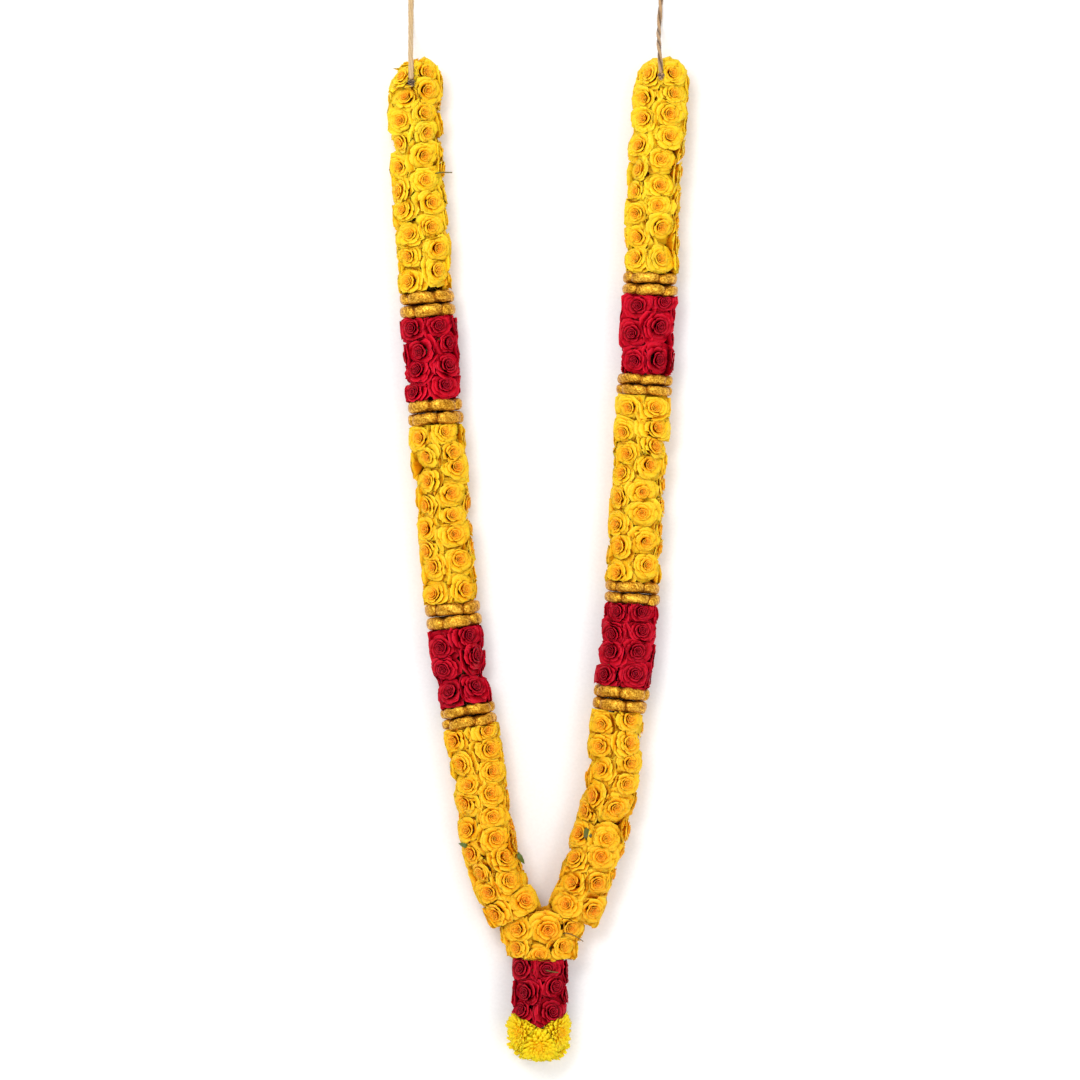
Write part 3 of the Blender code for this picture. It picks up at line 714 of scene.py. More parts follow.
class Shading:
    """A material's node tree, built up from its Principled shader."""

    def __init__(self, name: str, roughness: float, metallic: float = 0.0, sheen: float = 0.0) -> None:
        """Makes the material and sets what is the same all over it."""
        self.material = bpy.data.materials.new(name)
        self.material.use_nodes = True
        self.tree = self.material.node_tree
        self.shader = self.tree.nodes["Principled BSDF"]
        self.shader.inputs["Roughness"].default_value = roughness
        self.shader.inputs["Metallic"].default_value = metallic
        self.shader.inputs["Sheen Weight"].default_value = sheen

    def node(self, kind: str, **settings: object) -> bpy.types.Node:
        """Adds a node and sets its properties."""
        made = self.tree.nodes.new(kind)
        for name, value in settings.items():
            setattr(made, name, value)
        return made

    def feed(self, node: bpy.types.Node, **values: object) -> bpy.types.Node:
        """Sets or links a node's inputs, by their names with underscores for spaces."""
        for name, value in values.items():
            socket = node.inputs[int(name[1:]) if name[1:].isdigit() else name.replace("_", " ")]
            if isinstance(value, bpy.types.NodeSocket):
                self.tree.links.new(value, socket)
            else:
                socket.default_value = value
        return node

    def tint(self) -> dict[str, bpy.types.NodeSocket]:
        """The four values that each point of the mesh carries."""
        attribute = self.node("ShaderNodeAttribute", attribute_name="bloom")
        parts = self.feed(self.node("ShaderNodeSeparateColor"), Color=attribute.outputs["Color"])
        names = ("openness", "reach", "chance")
        tint = dict(zip(names, parts.outputs[:3]))
        tint["light"] = attribute.outputs["Alpha"]
        return tint

    def ramp(self, value: bpy.types.NodeSocket, stops: list[tuple[float, tuple[float, ...]]]
             ) -> bpy.types.NodeSocket:
        """A colour ramp through stops of place and colour."""
        made = self.node("ShaderNodeValToRGB")
        while len(made.color_ramp.elements) < len(stops):
            made.color_ramp.elements.new(0.5)
        for element, (place, colour) in zip(made.color_ramp.elements, stops):
            element.position = place
            element.color = (*colour, 1)
        self.feed(made, Fac=value)
        return made.outputs["Color"]

    def mixed(self, factor: object, first: object, second: object, way: str = "MIX"
              ) -> bpy.types.NodeSocket:
        """Two colours mixed in a given way by a factor."""
        made = self.node("ShaderNodeMix", data_type="RGBA", blend_type=way)
        first, second = ((*part, 1) if isinstance(part, tuple) else part for part in (first, second))
        self.feed(made, _0=factor, _6=first, _7=second)
        return made.outputs[2]

    def sums(self, operation: str, *values: object) -> bpy.types.NodeSocket:
        """The result of a maths operation on numbers."""
        made = self.node("ShaderNodeMath", operation=operation)
        self.feed(made, **{f"_{index}": value for index, value in enumerate(values)})
        return made.outputs[0]

    def weighed(self, *parts: tuple[bpy.types.NodeSocket, float]) -> bpy.types.NodeSocket:
        """The sum of values, each times its weight."""
        total, *others = [self.sums("MULTIPLY", value, weight) for value, weight in parts]
        for other in others:
            total = self.sums("ADD", total, other)
        return total

    def ranged(self, value: bpy.types.NodeSocket, source: tuple[float, float],
               target: tuple[float, float]) -> bpy.types.NodeSocket:
        """A value carried from one range to another, and kept between its ends."""
        made = self.node("ShaderNodeMapRange")
        self.feed(made, Value=value, _1=source[0], _2=source[1], _3=target[0], _4=target[1])
        return made.outputs[0]

    def place(self, stretch: tuple[float, float, float] = (1, 1, 1), own_map: bool = False
              ) -> bpy.types.NodeSocket:
        """The object's own coordinates, or its UV map, stretched."""
        source = self.node("ShaderNodeTexCoord").outputs["UV" if own_map else "Object"]
        return self.feed(self.node("ShaderNodeMapping"), Vector=source, Scale=stretch).outputs[0]

    def noise(self, scale: float, place: bpy.types.NodeSocket, detail: float = 3.0
              ) -> bpy.types.NodeSocket:
        """Noise from 0 to 1 at a scale."""
        made = self.feed(self.node("ShaderNodeTexNoise"), Vector=place, Scale=scale, Detail=detail)
        return made.outputs["Fac"]

    def bump(self, height: bpy.types.NodeSocket, strength: float, distance: float) -> None:
        """Raises the surface by a height."""
        made = self.feed(self.node("ShaderNodeBump"), Height=height, Strength=strength, Distance=distance)
        self.feed(self.shader, Normal=made.outputs[0])


@dataclass(frozen=True)
class PetalFinish:
    """Petals: their colours from the heart of the bloom to its rim, painted shade at the petal's root and
    deep in the bloom, and a paler edge that is partly a painted highlight.
    """

    name: str
    heart: Colour
    middle: Colour
    rim: Colour
    # The root colour is painted shade; the edge colour is the petal's paler edge and partly a painted
    # highlight
    root: Colour
    edge: Colour
    far: Colour
    glow: Colour = (1.0, 0.6, 0.1)
    gloss: float = 0.14
    shade: float = 0.6
    roughness: float = 0.5

    def material(self) -> bpy.types.Material:
        """Petals with fine veins and mottling, with painted shade at the root and deep in the bloom, and
        paler along the edge, partly as a painted highlight.
        """
        made = Shading(self.name, self.roughness)
        made.feed(
            made.shader, Specular_IOR_Level=self.gloss, Subsurface_Weight=0.35,
            Subsurface_Radius=self.glow, Subsurface_Scale=1.2 * MM)
        tint = made.tint()
        colour = made.ramp(tint["openness"], [(0.0, self.heart), (0.45, self.middle), (0.9, self.rim)])
        along = made.feed(made.node("ShaderNodeSeparateXYZ"), Vector=made.place()).outputs["Y"]
        down = made.ranged(along, (0.45, -0.4), (0.0, 0.75))
        colour = made.mixed(down, colour, self.far, "MULTIPLY")
        mottle = made.noise(150, made.place(), 4)
        blush = made.sums("MULTIPLY", made.sums("MULTIPLY", mottle, tint["chance"]), 0.7)
        colour = made.mixed(blush, colour, self.middle)
        # Paler along the edge: partly the petal's own edge and partly a painted highlight
        edge = made.ranged(tint["reach"], (0.7, 1.0), (0.0, 0.55))
        colour = made.mixed(edge, colour, self.edge)
        # Painted shade towards the petal's root
        root = made.ranged(tint["reach"], (self.shade, 0.3), (0.0, 0.85))
        colour = made.mixed(root, colour, self.root)
        # Painted shade where the petal lies deep in its rose or is squeezed
        deep = made.ranged(tint["light"], (0.75, 0.05), (0.0, 0.9))
        colour = made.mixed(deep, colour, self.root)
        veins = made.noise(1, made.place((22, 2.5, 1), own_map=True), 3)
        colour = made.mixed(1.0, colour, made.ranged(veins, (0.3, 0.75), (0.9, 1.08)), "MULTIPLY")
        made.feed(made.shader, Base_Color=colour)
        made.bump(veins, 0.5, 0.6 * MM)
        return made.material


@dataclass(frozen=True)
class TissueFinish:
    """Gold tissue: bright gold, the painted shade of its creases, its painted glints and the size of its
    crinkles.
    """

    name: str
    bright: Colour
    shadow: Colour
    glint: Colour
    crinkle: float = 560

    def material(self) -> bpy.types.Material:
        """Metallic threads with creases and a fine grain, with painted shade in the creases and painted
        glints.
        """
        made = Shading(self.name, 0.36, metallic=0.75)
        place = made.place()
        creases = made.noise(self.crinkle, place, 5)
        grain = made.noise(1300, place, 2)
        threads = made.noise(1, made.place((60, 4, 1), own_map=True), 2)
        crease_shade_tint = made.tint()["openness"]
        mix = made.weighed((creases, 0.5), (threads, 0.15), (grain, 0.3), (crease_shade_tint, 0.25))
        # The ramp paints shade where creases, grain and tint are low and glints where they are high
        colour = made.ramp(mix, [(0.42, self.shadow), (0.57, self.bright), (0.7, self.glint)])
        rough = made.ranged(grain, (0.35, 0.65), (0.26, 0.5))
        made.feed(made.shader, Specular_IOR_Level=0.2, Base_Color=colour, Roughness=rough)
        made.bump(made.weighed((grain, 0.5), (creases, 1.0)), 0.7, 0.55 * MM)
        return made.material


@dataclass(frozen=True)
class GreenFinish:
    """Stems, calyxes and leaves: fresh green, older green and the brown of bruised edges."""

    name: str
    fresh: Colour
    old: Colour
    brown: Colour

    def material(self) -> bpy.types.Material:
        """Green that turns brown in patches, with veins."""
        made = Shading(self.name, 0.5)
        colour = made.mixed(made.tint()["openness"], self.old, self.fresh)
        bruised = made.ranged(made.noise(60, made.place(), 5), (0.52, 0.68), (0.0, 0.8))
        made.feed(made.shader, Base_Color=made.mixed(bruised, colour, self.brown))
        veins = made.noise(1, made.place((30, 4, 1), own_map=True), 3)
        made.bump(veins, 0.4, 0.4 * MM)
        return made.material


@dataclass(frozen=True)
class FibreFinish:
    """Rope, straw or jute: its light and dark fibres along its UV map, and the thread on a knot."""

    name: str
    light: Colour
    dark: Colour
    thread: Colour = (0.02, 0.008, 0.004)

    def material(self) -> bpy.types.Material:
        """Fibres drawn out along the thread, rough and matt."""
        made = Shading(self.name, 0.85, sheen=0.2)
        fibres = made.noise(1, made.place((26, 1.6, 1), own_map=True), 5)
        flecks = made.noise(500, made.place(), 3)
        tint = made.tint()
        # Where the first tint is high the fibres are darker: on the strings this paints shade into the
        # grooves between the plies
        mix = made.weighed((fibres, 0.75), (flecks, 0.25), (tint["openness"], -0.3))
        colour = made.ramp(mix, [(0.2, self.dark), (0.5, self.light)])
        colour = made.mixed(tint["light"], self.thread, colour)
        made.feed(made.shader, Base_Color=colour)
        made.bump(fibres, 0.7, 0.5 * MM)
        return made.material


# Roses


@dataclass(frozen=True)
class PetalLayer:
    """A ring of petals in a rose of size one, in mm from the top of its bud.

    Its petals may reach past the walls between roses by a distance that is in mm too.
    """

    count: int
    root_radius: float
    rim_radius: float
    root_height: float
    rim_height: float
    half_width: float
    roll: float
    openness: float
    rows: int = 4
    columns: int = 5
    past: float = 0.0


ROSE_LAYERS = (
    PetalLayer(3, 0.3, 1.5, -8, -1.4, 1.45, 0.0, 0.0, rows=3, columns=4),
    PetalLayer(4, 0.8, 3.3, -9, -0.4, 1.2, 0.3, 0.1, rows=3, columns=4),
    PetalLayer(5, 1.2, 5.6, -11, 0.2, 0.98, 0.8, 0.25, rows=3, columns=4),
    PetalLayer(5, 1.6, 9.0, -13, -0.4, 0.9, 1.6, 0.55),
    PetalLayer(6, 2.0, 13.6, -15, -1.6, 0.78, 2.2, 0.8),
    PetalLayer(6, 2.2, 17.2, -15.5, -3.8, 0.77, 2.6, 1.0),
    PetalLayer(7, 2.4, 22.5, -17.0, -8.8, 0.8, 0.8, 0.92, rows=3, columns=4, past=3.0),
)


@dataclass(frozen=True)
class PetalStray:
    """How far petals stray from the rule, each as the least and the most.

    The place is counted in petals, the lift is in mm, the waves are radians across half a petal,
    the patch is where the petal lies on its veins' pattern, and the rest are shares.
    """

    length: tuple[float, float] = (0.93, 1.0)
    place: tuple[float, float] = (-0.16, 0.16)
    width: tuple[float, float] = (0.92, 1.12)
    rim: tuple[float, float] = (0.92, 1.08)
    lift: tuple[float, float] = (-0.7, 0.9)
    roll: tuple[float, float] = (0.5, 1.4)
    waves: tuple[float, float] = (2, 4.5)
    tint: tuple[float, float] = (-0.08, 0.08)
    patch: tuple[float, float] = (0, 9)


@dataclass
class RoseRun:
    """A run of roses, each of rings of petals, pressed against each other and the run's ends.

    The spread widens open petals round the strand, the overlap is how far a petal may reach past
    a neighbour's wall, the lift is the share of a squeeze that raises it, and the bulge gives the
    limit, its waver and its softness in half sizes of the strand.
    """

    name: str
    sleeve: Sleeve
    walls: list[Wall]
    seed: int
    dent: Dent | None = None
    ends: list[RoseSeat] = field(default_factory=list)
    layers: tuple[PetalLayer, ...] = ROSE_LAYERS
    stray: PetalStray = PetalStray()
    petal: float = 0.42 * MM
    softness: float = 1.7 * MM
    reach: float = 46 * MM
    spread: float = 0.17
    overlap: float = 3.6 * MM
    lift: float = 0.3
    sink: float = 1.9 * MM
    rise: float = 2.4 * MM
    bulge: tuple[float, float, float] = (1.035, 0.035, 0.08)
    nod: float = 0.17
    jostle: tuple[float, float] = (3.0 * MM, 4.8 * MM)
    seats: list[RoseSeat] = field(init=False)

    def __post_init__(self) -> None:
        """Places the roses, each a little off its place and its direction."""
        self.seats = rose_seats(self.sleeve, self.seed)
        rng = np.random.default_rng(self.seed + 90)
        for seat in self.seats:
            along, around = rng.uniform(-1, 1, 2) * self.jostle
            seat.top = seat.top + seat.axes[0] * along + seat.axes[1] * around - seat.axes[2] * self.sink
            outward = unit(seat.axes[2] + rng.uniform(-1, 1, 2) * self.nod @ seat.axes[:2])
            first = unit(seat.axes[0] - outward * (seat.axes[0] @ outward))
            seat.axes = np.stack([first, np.cross(outward, first), outward])
            if np.linalg.norm(BIG_ROSES - seat.top[:2], axis=1).min() < BIG_NEAR:
                seat.size *= BIG_SIZE
        self.seats += self.ends

    def petal_grid(self, layer: PetalLayer, rng: np.random.Generator) -> tuple[Grid, Grid, Grid]:
        """Works out one ring of petals of every rose at once, in each rose's own axes.

        With u from -1 to 1 across a petal and v from 0 to 1 along it, s = v (1 - 0.2 |u|^2.6)
        rounds its outline, its angle is a + w u (0.62 + 0.38 s), its radius runs evenly from the
        root to the rim and spirals by u, its height is root + (rim - root) (1 - (1 - s)^2), and
        past s = 0.66 its edge rolls over and ripples. Each petal and each rose strays from this.

        Args:
            layer: the ring's sizes.
            rng: the run's own source of chance.

        Returns:
            The points of roses of size one, as roses x petals x rows x columns x 3, the s of each
            point, and from -1 to 1 how far each petal lies over its neighbours.
        """
        count, stray = layer.count, self.stray
        shape, single = (len(self.seats), count, 1, 1), (len(self.seats), 1, 1, 1)
        v = np.linspace(0, 1, layer.rows)[:, None]
        u = np.linspace(-1, 1, layer.columns)[None, :]
        s = v * (1 - 0.2 * np.abs(u) ** 2.6) * rng.uniform(*stray.length, shape)
        bloom = rng.uniform(-1, 1, single)
        phase = rng.uniform(0, TURN, single)
        order = np.arange(count)[None, :, None, None] + rng.uniform(*stray.place, shape)
        width = layer.half_width * rng.uniform(*stray.width, shape)
        angle = phase + TURN * order / count + width * u * (0.62 + 0.38 * s)
        rim = layer.rim_radius * rng.uniform(*stray.rim, shape) * (1 + 0.06 * bloom * layer.openness)
        radius = layer.root_radius + (rim - layer.root_radius) * s + 0.09 * rim * u * s
        lift = rng.uniform(*stray.lift, shape) * (0.3 + layer.openness) - 0.9 * bloom * layer.openness
        top = layer.rim_height + lift
        height = layer.root_height + (top - layer.root_height) * (1 - (1 - s) ** 2)
        edge = smooth(s, 0.66, 1.0)
        height = height - layer.roll * rng.uniform(*stray.roll, shape) * edge ** 1.5
        ripple = np.sin(rng.uniform(*stray.waves, shape) * u + rng.uniform(0, TURN, shape))
        height = height + 0.5 * ripple * edge * (0.4 + layer.openness)
        over = rng.uniform(-1, 1, shape) * layer.openness
        height = height + 0.8 * over * s
        around = radius * np.sin(angle) * (1 + self.spread * layer.openness)
        local = joined(radius * np.cos(angle), around, height) * MM
        shift = rng.uniform(-1, 1, (*single, 2))
        local[..., :2] += shift * s[..., None] * 0.055 * layer.rim_radius * MM
        return local, s, over

    def petals(self, layer: PetalLayer, rng: np.random.Generator) -> tuple[Grid, Grid, Grid, Grid]:
        """Makes one ring of petals of every rose into sheets, in each rose's own axes.

        Args:
            layer: the ring's sizes.
            rng: the run's own source of chance.

        Returns:
            The points (roses x sheet points x 3), tints and UV map of the ring's petals, and how
            far each may reach past the walls: those that overlap a neighbour also lie higher.
        """
        local, s, over = self.petal_grid(layer, rng)
        roses, count, rows, columns = s.shape
        size, chance = (
            np.array([getattr(seat, name) for seat in self.seats])[:, None, None, None]
            for name in ("size", "chance"))
        local = (local * size[..., None]).reshape(roses * count, rows, columns, 3)
        points = thickened(local, self.petal).reshape(roses, -1, 3)
        side = rows * columns
        tints = np.ones((roses, count, 2, side, 4))
        tint = rng.uniform(*self.stray.tint, (roses, count, 1, 1))
        tints[..., 0] = np.clip(layer.openness + tint, 0, 1)
        tints[..., 1] = s.reshape(roses, count, 1, side)
        tints[..., 2] = chance
        flat = joined(np.linspace(0, 1, columns), np.linspace(0, 1, rows)[:, None]).reshape(side, 2)
        maps = flat + rng.uniform(*self.stray.patch, (roses, count, 1, 1, 1))
        maps = np.broadcast_to(maps, (roses, count, 2, side, 2))
        slack = over * self.overlap + layer.past * MM
        slack = np.broadcast_to(slack, (roses, count, 1, 2 * side)).reshape(roses, -1)
        return points, tints.reshape(roses, -1, 4), maps.reshape(roses, -1, 2), slack

    def held(self, points: Grid, row: float) -> Grid:
        """Presses points that stand out too far from the rope back towards it.

        The limit is the sleeve's section scaled by the bulge, and it wavers a little.

        Args:
            points: any array of points.
            row: the row of the rose that they belong to.

        Returns:
            The moved points, in the same shape.
        """
        limit, waver, softness = self.bulge
        middle, axes, halves = self.sleeve.section(row)
        across = (points - middle) @ axes.T / halves
        far = np.maximum(np.linalg.norm(across, axis=-1, keepdims=True), 1e-6)
        inside = limit + waver * wander(points)[..., :1] - far
        kept = far + (inside - softened(inside, softness))
        return points + ((kept / far - 1) * across * halves) @ axes

    def crowding(self, seat: RoseSeat) -> list[Wall]:
        """The planes between a rose and those near it, set nearer to the smaller rose."""
        apart = np.array([other.rim for other in self.seats]) - seat.rim
        distances = np.linalg.norm(apart, axis=1)
        walls = []
        for other in np.flatnonzero((distances > 0) & (distances < self.reach)):
            share = 0.5 + 0.4 * (seat.size - self.seats[other].size)
            walls.append(Wall(seat.rim + apart[other] * share, apart[other] / distances[other], WAVER))
        return walls

    def placed(self, points: Grid, slack: Grid, ceiling: float) -> tuple[Grid, Grid]:
        """Carries each rose's points to its seat and presses them against all that crowds them.

        Args:
            points: the points in the roses' own axes.
            slack: how far each may reach past a neighbour's wall.
            ceiling: how high above the roses' tops they may rise.

        Returns:
            The placed points, and how open to the light each is: less where it lies deep in its
            rose or is squeezed.
        """
        placed, light = np.empty_like(points), np.empty(points.shape[:2])
        for number, seat in enumerate(self.seats):
            free = seat.top + points[number] @ seat.axes
            cloud = pressed_by(self.crowding(seat), free, self.softness, slack[number])
            squeeze = np.linalg.norm(cloud - free, axis=-1, keepdims=True)
            cloud = cloud + seat.axes[2] * self.lift * squeeze
            cloud = Wall(seat.top + seat.axes[2] * ceiling, seat.axes[2]).pressed(cloud, self.softness)
            cloud = self.held(cloud, seat.row)
            little = np.minimum(0.35 * slack[number], self.softness / 2)
            cloud = pressed_by(self.walls, cloud, self.softness, little)
            cloud = GROUND.pressed(cloud, self.softness)
            placed[number] = self.dent.pressed(cloud) if self.dent else cloud
            depth = points[number, :, 2] / MM
            light[number] = smooth(depth, -16, -7) * (1 - 0.5 * np.clip(squeeze[:, 0] / (6 * MM), 0, 1))
        return placed, light

    def build(self, material: bpy.types.Material) -> bpy.types.Object:
        """Makes the run's petals as one piece in place of its CAD node."""
        rng = np.random.default_rng(self.seed)
        cloud = Cloud()
        for layer in self.layers:
            points, tints, maps, slack = self.petals(layer, rng)
            points, tints[..., 3] = self.placed(points, slack, layer.rim_height * MM + self.rise)
            each = 2 * layer.rows * layer.columns
            copies = len(self.seats) * layer.count
            faces = sheet_faces(layer.rows, layer.columns)
            sheets = facing_out(points.reshape(copies, each, 3), faces)
            cloud.add(sheets, faces, tints.reshape(copies, each, 4), maps.reshape(copies, each, 2))
        made = cloud.piece(f"{self.name}_petals", material)
        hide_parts(self.name)
        return made


# Stems, calyxes and leaves


@dataclass
class StemRun:
    """The bound stems of a run, with a calyx under every rose and leaves between them."""

    name: str
    run: RoseRun
    node: str | None
    leaves: float = 0.3
    leaf_rows: int = 7
    leaf_columns: int = 5

    def sleeve_tube(self, cloud: Cloud) -> None:
        """Adds the bundle of stems as one tube, whose nine ridges wind by 3 radians along the run."""
        sleeve = self.run.sleeve
        rings, sides = 6 * sleeve.rows + 1, 36
        rows = np.linspace(0.02, sleeve.rows - 0.02, rings)[:, None]
        marks = sleeve.start + rows[:, 0] * sleeve.pitch
        side = np.cross(UP, sleeve.line.along(marks))
        angle = TURN * np.arange(sides)[None, :] / sides
        radius = STEMS_RADIUS * (1 + 0.12 * np.cos(9 * (angle + 3 * rows / sleeve.rows)))
        outward = side[:, None] * np.sin(angle)[..., None] + UP * np.cos(angle)[..., None]
        points = sleeve.line.at(marks)[:, None] + outward * radius[..., None]
        cloud.tubes(
            points.reshape(1, -1, 3), rings, sides, np.full((1, 1, 4), 0.1),
            joined(angle, rows).reshape(1, -1, 2), against=True)

    def hips(self, cloud: Cloud) -> None:
        """Adds under each rose its stem and hip, turned on a profile of radius and height in mm."""
        profile = np.array([(1.4, -22), (1.6, -19.5), (3.2, -17.5), (4.3, -15), (2.4, -13)]) * MM
        sides = 7
        hip = turned(profile, sides)
        points = np.array([seat.top + hip @ seat.axes for seat in self.run.seats])
        cloud.tubes(points, len(profile), sides, np.full((1, 1, 4), 0.25), np.zeros((1, 1, 2)))

    def leaf_grid(self, length: Grid, width: Grid, curl: Grid) -> Grid:
        """Leaves that lie along their first axis.

        With u across and v along, x = L v, y = W u times the leaf's outline with nine shallow
        teeth, and z = C sin(pi v) + 0.3 W u^2, which cups the leaf along its midrib.
        """
        v = np.linspace(0.02, 0.98, self.leaf_rows)[None, :, None]
        u = np.linspace(-1, 1, self.leaf_columns)[None, None, :]
        length, width, curl = (value[:, None, None] for value in (length, width, curl))
        y = width * u * leaf_outline(v, 9, 0.08)
        return joined(length * v, y, curl * np.sin(math.pi * v) + 0.3 * width * u ** 2)

    def add_leaves(self, cloud: Cloud, rng: np.random.Generator) -> None:
        """Tucks leaves in beside some of the roses, well below their rims."""
        seats = [seat for seat in self.run.seats if rng.uniform() < self.leaves]
        if not seats:
            return
        count = len(seats)
        length, width, curl = (
            rng.uniform(low, high, count) * MM for low, high in ((11, 17), (3, 5), (0.5, 2.5)))
        placed = []
        for seat, grid in zip(seats, thickened(self.leaf_grid(length, width, curl), 0.35 * MM)):
            turn = rng.uniform(0, TURN)
            rise = rng.uniform(0.35, 0.75)
            level = seat.axes[0] * math.cos(turn) + seat.axes[1] * math.sin(turn)
            first = unit(level * math.cos(rise) + seat.axes[2] * math.sin(rise))
            second = np.cross(seat.axes[2], level)
            axes = np.stack([first, second, np.cross(first, second)])
            start = seat.top - seat.axes[2] * 17 * MM + level * 4 * MM
            placed.append(pressed_by((*self.run.walls, GROUND), start + grid @ axes, self.run.softness))
        tints = np.ones((count, 2 * self.leaf_rows * self.leaf_columns, 4))
        tints[..., 0] = rng.uniform(0.3, 1, (count, 1))
        flat = joined(np.linspace(0, 1, self.leaf_columns), np.linspace(0, 1, self.leaf_rows)[:, None])
        maps = np.tile(flat.reshape(1, -1, 2), (count, 2, 1))
        cloud.add(np.array(placed), sheet_faces(self.leaf_rows, self.leaf_columns), tints, maps)

    def build(self, material: bpy.types.Material) -> bpy.types.Object:
        """Makes the stems, calyxes and leaves as one piece."""
        rng = np.random.default_rng(self.run.seed + 500)
        cloud = Cloud()
        if self.node:
            self.sleeve_tube(cloud)
        self.hips(cloud)
        self.add_leaves(cloud, rng)
        made = cloud.piece(self.name, material)
        if self.node:
            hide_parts(self.node)
        return made


# Gold bands


@dataclass
class GoldRing:
    """One ring of gold tissue pads, stitched side by side round the strand.

    The bow and the slant are how far a pad bends and leans along the strand, and the collar is
    the count of points round the gathered tissue inside the pads and about its section.
    """

    name: str
    line: Route
    start: float
    end: float
    phase: float
    seed: int
    pads: int = 5
    bow: float = 0.0
    slant: float = 2.2 * MM
    reach: float = 30.8 * MM
    puff: float = 7.0 * MM
    creases: int = 10
    crease_mean: float = 6.37
    ruffle: float = 0.1
    rings: int = 26
    sides: int = 16
    collar: tuple[int, int] = (78, 10)
    pleats: int = 26

    def pad_grid(self, rng: np.random.Generator) -> tuple[Grid, Grid]:
        """Works out all the ring's pads before they are wrapped round the strand.

        With u from -1 to 1 along a pad and a the angle round its squarish section, the section
        keeps its size until it closes as (1 - |u|^k)^0.5 at the ends. There k is 4.8 - 1.8 sin a
        or its mirror, so each pad has blunt ends with a notch on one side. The pad bows to one
        side by B (u^2 - 0.5), and crossing waves crease it.

        Args:
            rng: the ring's own source of chance.

        Returns:
            pads x rings x sides x 3: angle round the strand, radius and offset along it; and how
            far each point stands out of its creases, from 0 to 1.
        """
        shape = (self.pads, 1, 1)
        u = np.sin(np.linspace(-1, 1, self.rings) * math.pi / 2)[None, :, None]
        a = TURN * np.arange(self.sides)[None, None, :] / self.sides
        notch = 1.8 * rng.choice((-1, 1), shape)
        swell = np.sqrt(np.maximum(1 - np.abs(u) ** (4.8 - notch * np.sin(a)), 0.1))
        crinkle = 0.0
        for _ in range(self.creases):
            wave = rng.uniform(-26, 26, shape) * u + rng.integers(1, 6, shape) * a
            crinkle = crinkle + np.abs(np.sin(wave + rng.uniform(0, TURN, shape)))
        ruffle = (crinkle - self.crease_mean) * self.ruffle * swell
        half = (self.end - self.start) / 2 * rng.uniform(0.92, 1.05, shape)
        level, tilt = np.cos(a), np.sin(a)
        out = (self.puff * swell * np.abs(level) ** 0.85 + ruffle * MM) * np.sign(level)
        offset = (half * swell * np.abs(tilt) ** 0.7 + ruffle * MM) * np.sign(tilt)
        offset = offset + self.bow * (u ** 2 - 0.5) + rng.uniform(-1, 1, shape) * self.slant * u
        lobe = np.arange(self.pads)[:, None, None]
        angle = self.phase + TURN * (lobe + 0.5 + 0.53 * u) / self.pads
        radius = self.reach - self.puff + out - 1.3 * MM * u ** 4 + rng.uniform(-0.6, 0.5, shape) * MM
        # Painted shade: the tissue's material is darker where this is low, in the creases, and lighter on
        # the crests
        painted_crease_shade = np.clip(0.5 + ruffle * 1.7, 0, 1)
        return joined(angle, radius, offset), painted_crease_shade

    def collar_grid(self, rng: np.random.Generator) -> Grid:
        """The gathered tissue inside the pads, a thick disc that is pleated all round, coloured with
        painted shade.
        """
        turns, across = self.collar
        a = TURN * np.arange(turns)[:, None] / turns
        t = TURN * (np.arange(across)[None, :] + 0.5) / across
        radius = 16.5 * MM + 10.2 * MM * np.sign(np.cos(t)) * np.abs(np.cos(t)) ** 0.6
        pleats = np.cos(self.pleats * a + rng.uniform(0, TURN)) * radius / (24 * MM)
        offset = (self.end - self.start) * 0.47 * np.sign(np.sin(t)) * np.abs(np.sin(t)) ** 0.6
        return joined(a, radius, offset + 0.7 * MM * pleats)

    def wrapped(self, grid: Grid) -> Grid:
        """Wraps angles, radii and offsets round the strand and presses them between the ring's ends."""
        middle = (self.start + self.end) / 2
        along, centre = self.line.along(middle), self.line.at(middle)
        side = np.cross(UP, along)
        angle, radius, offset = grid[..., 0:1], grid[..., 1:2], grid[..., 2:3]
        points = centre + along * offset + (side * np.sin(angle) + UP * np.cos(angle)) * radius
        ends = ((self.start, -self.line.along(self.start)), (self.end, self.line.along(self.end)))
        walls = [Wall(self.line.at(mark) - ahead * GAP, ahead, WAVER) for mark, ahead in ends]
        return pressed_by((*walls, GROUND), points, 0.7 * MM)

    def build(self, material: bpy.types.Material) -> bpy.types.Object:
        """Makes the ring's pads and collar as one piece."""
        rng = np.random.default_rng(self.seed)
        cloud = Cloud()
        grid, painted_crease_shade = self.pad_grid(rng)
        tints = np.ones((self.pads, self.rings * self.sides, 4))
        tints[..., 0] = painted_crease_shade.reshape(self.pads, -1)
        maps = joined(np.arange(self.sides) / self.sides, np.linspace(0, 1, self.rings)[:, None])
        pads = self.wrapped(grid).reshape(self.pads, -1, 3)
        cloud.tubes(pads, self.rings, self.sides, tints, maps.reshape(1, -1, 2))
        collar = self.wrapped(self.collar_grid(rng)).reshape(1, -1, 3)
        # Tints of zero give the collar the tissue's dark colours: painted shade where it shows between the
        # pads and the rings
        cloud.add(collar, tube_faces(*self.collar, closed=True), np.zeros((1, 1, 4)), np.zeros((1, 1, 2)))
        made = cloud.piece(f"{self.name}_tissue", material)
        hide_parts(self.name)
        return made


# Chrysanthemums


@dataclass(frozen=True)
class StrapLayer:
    """A ring of strap petals: their count, their reach, root and tip heights and half-width in mm."""

    count: int
    reach: float
    root: float
    tip: float
    width: float
    openness: float


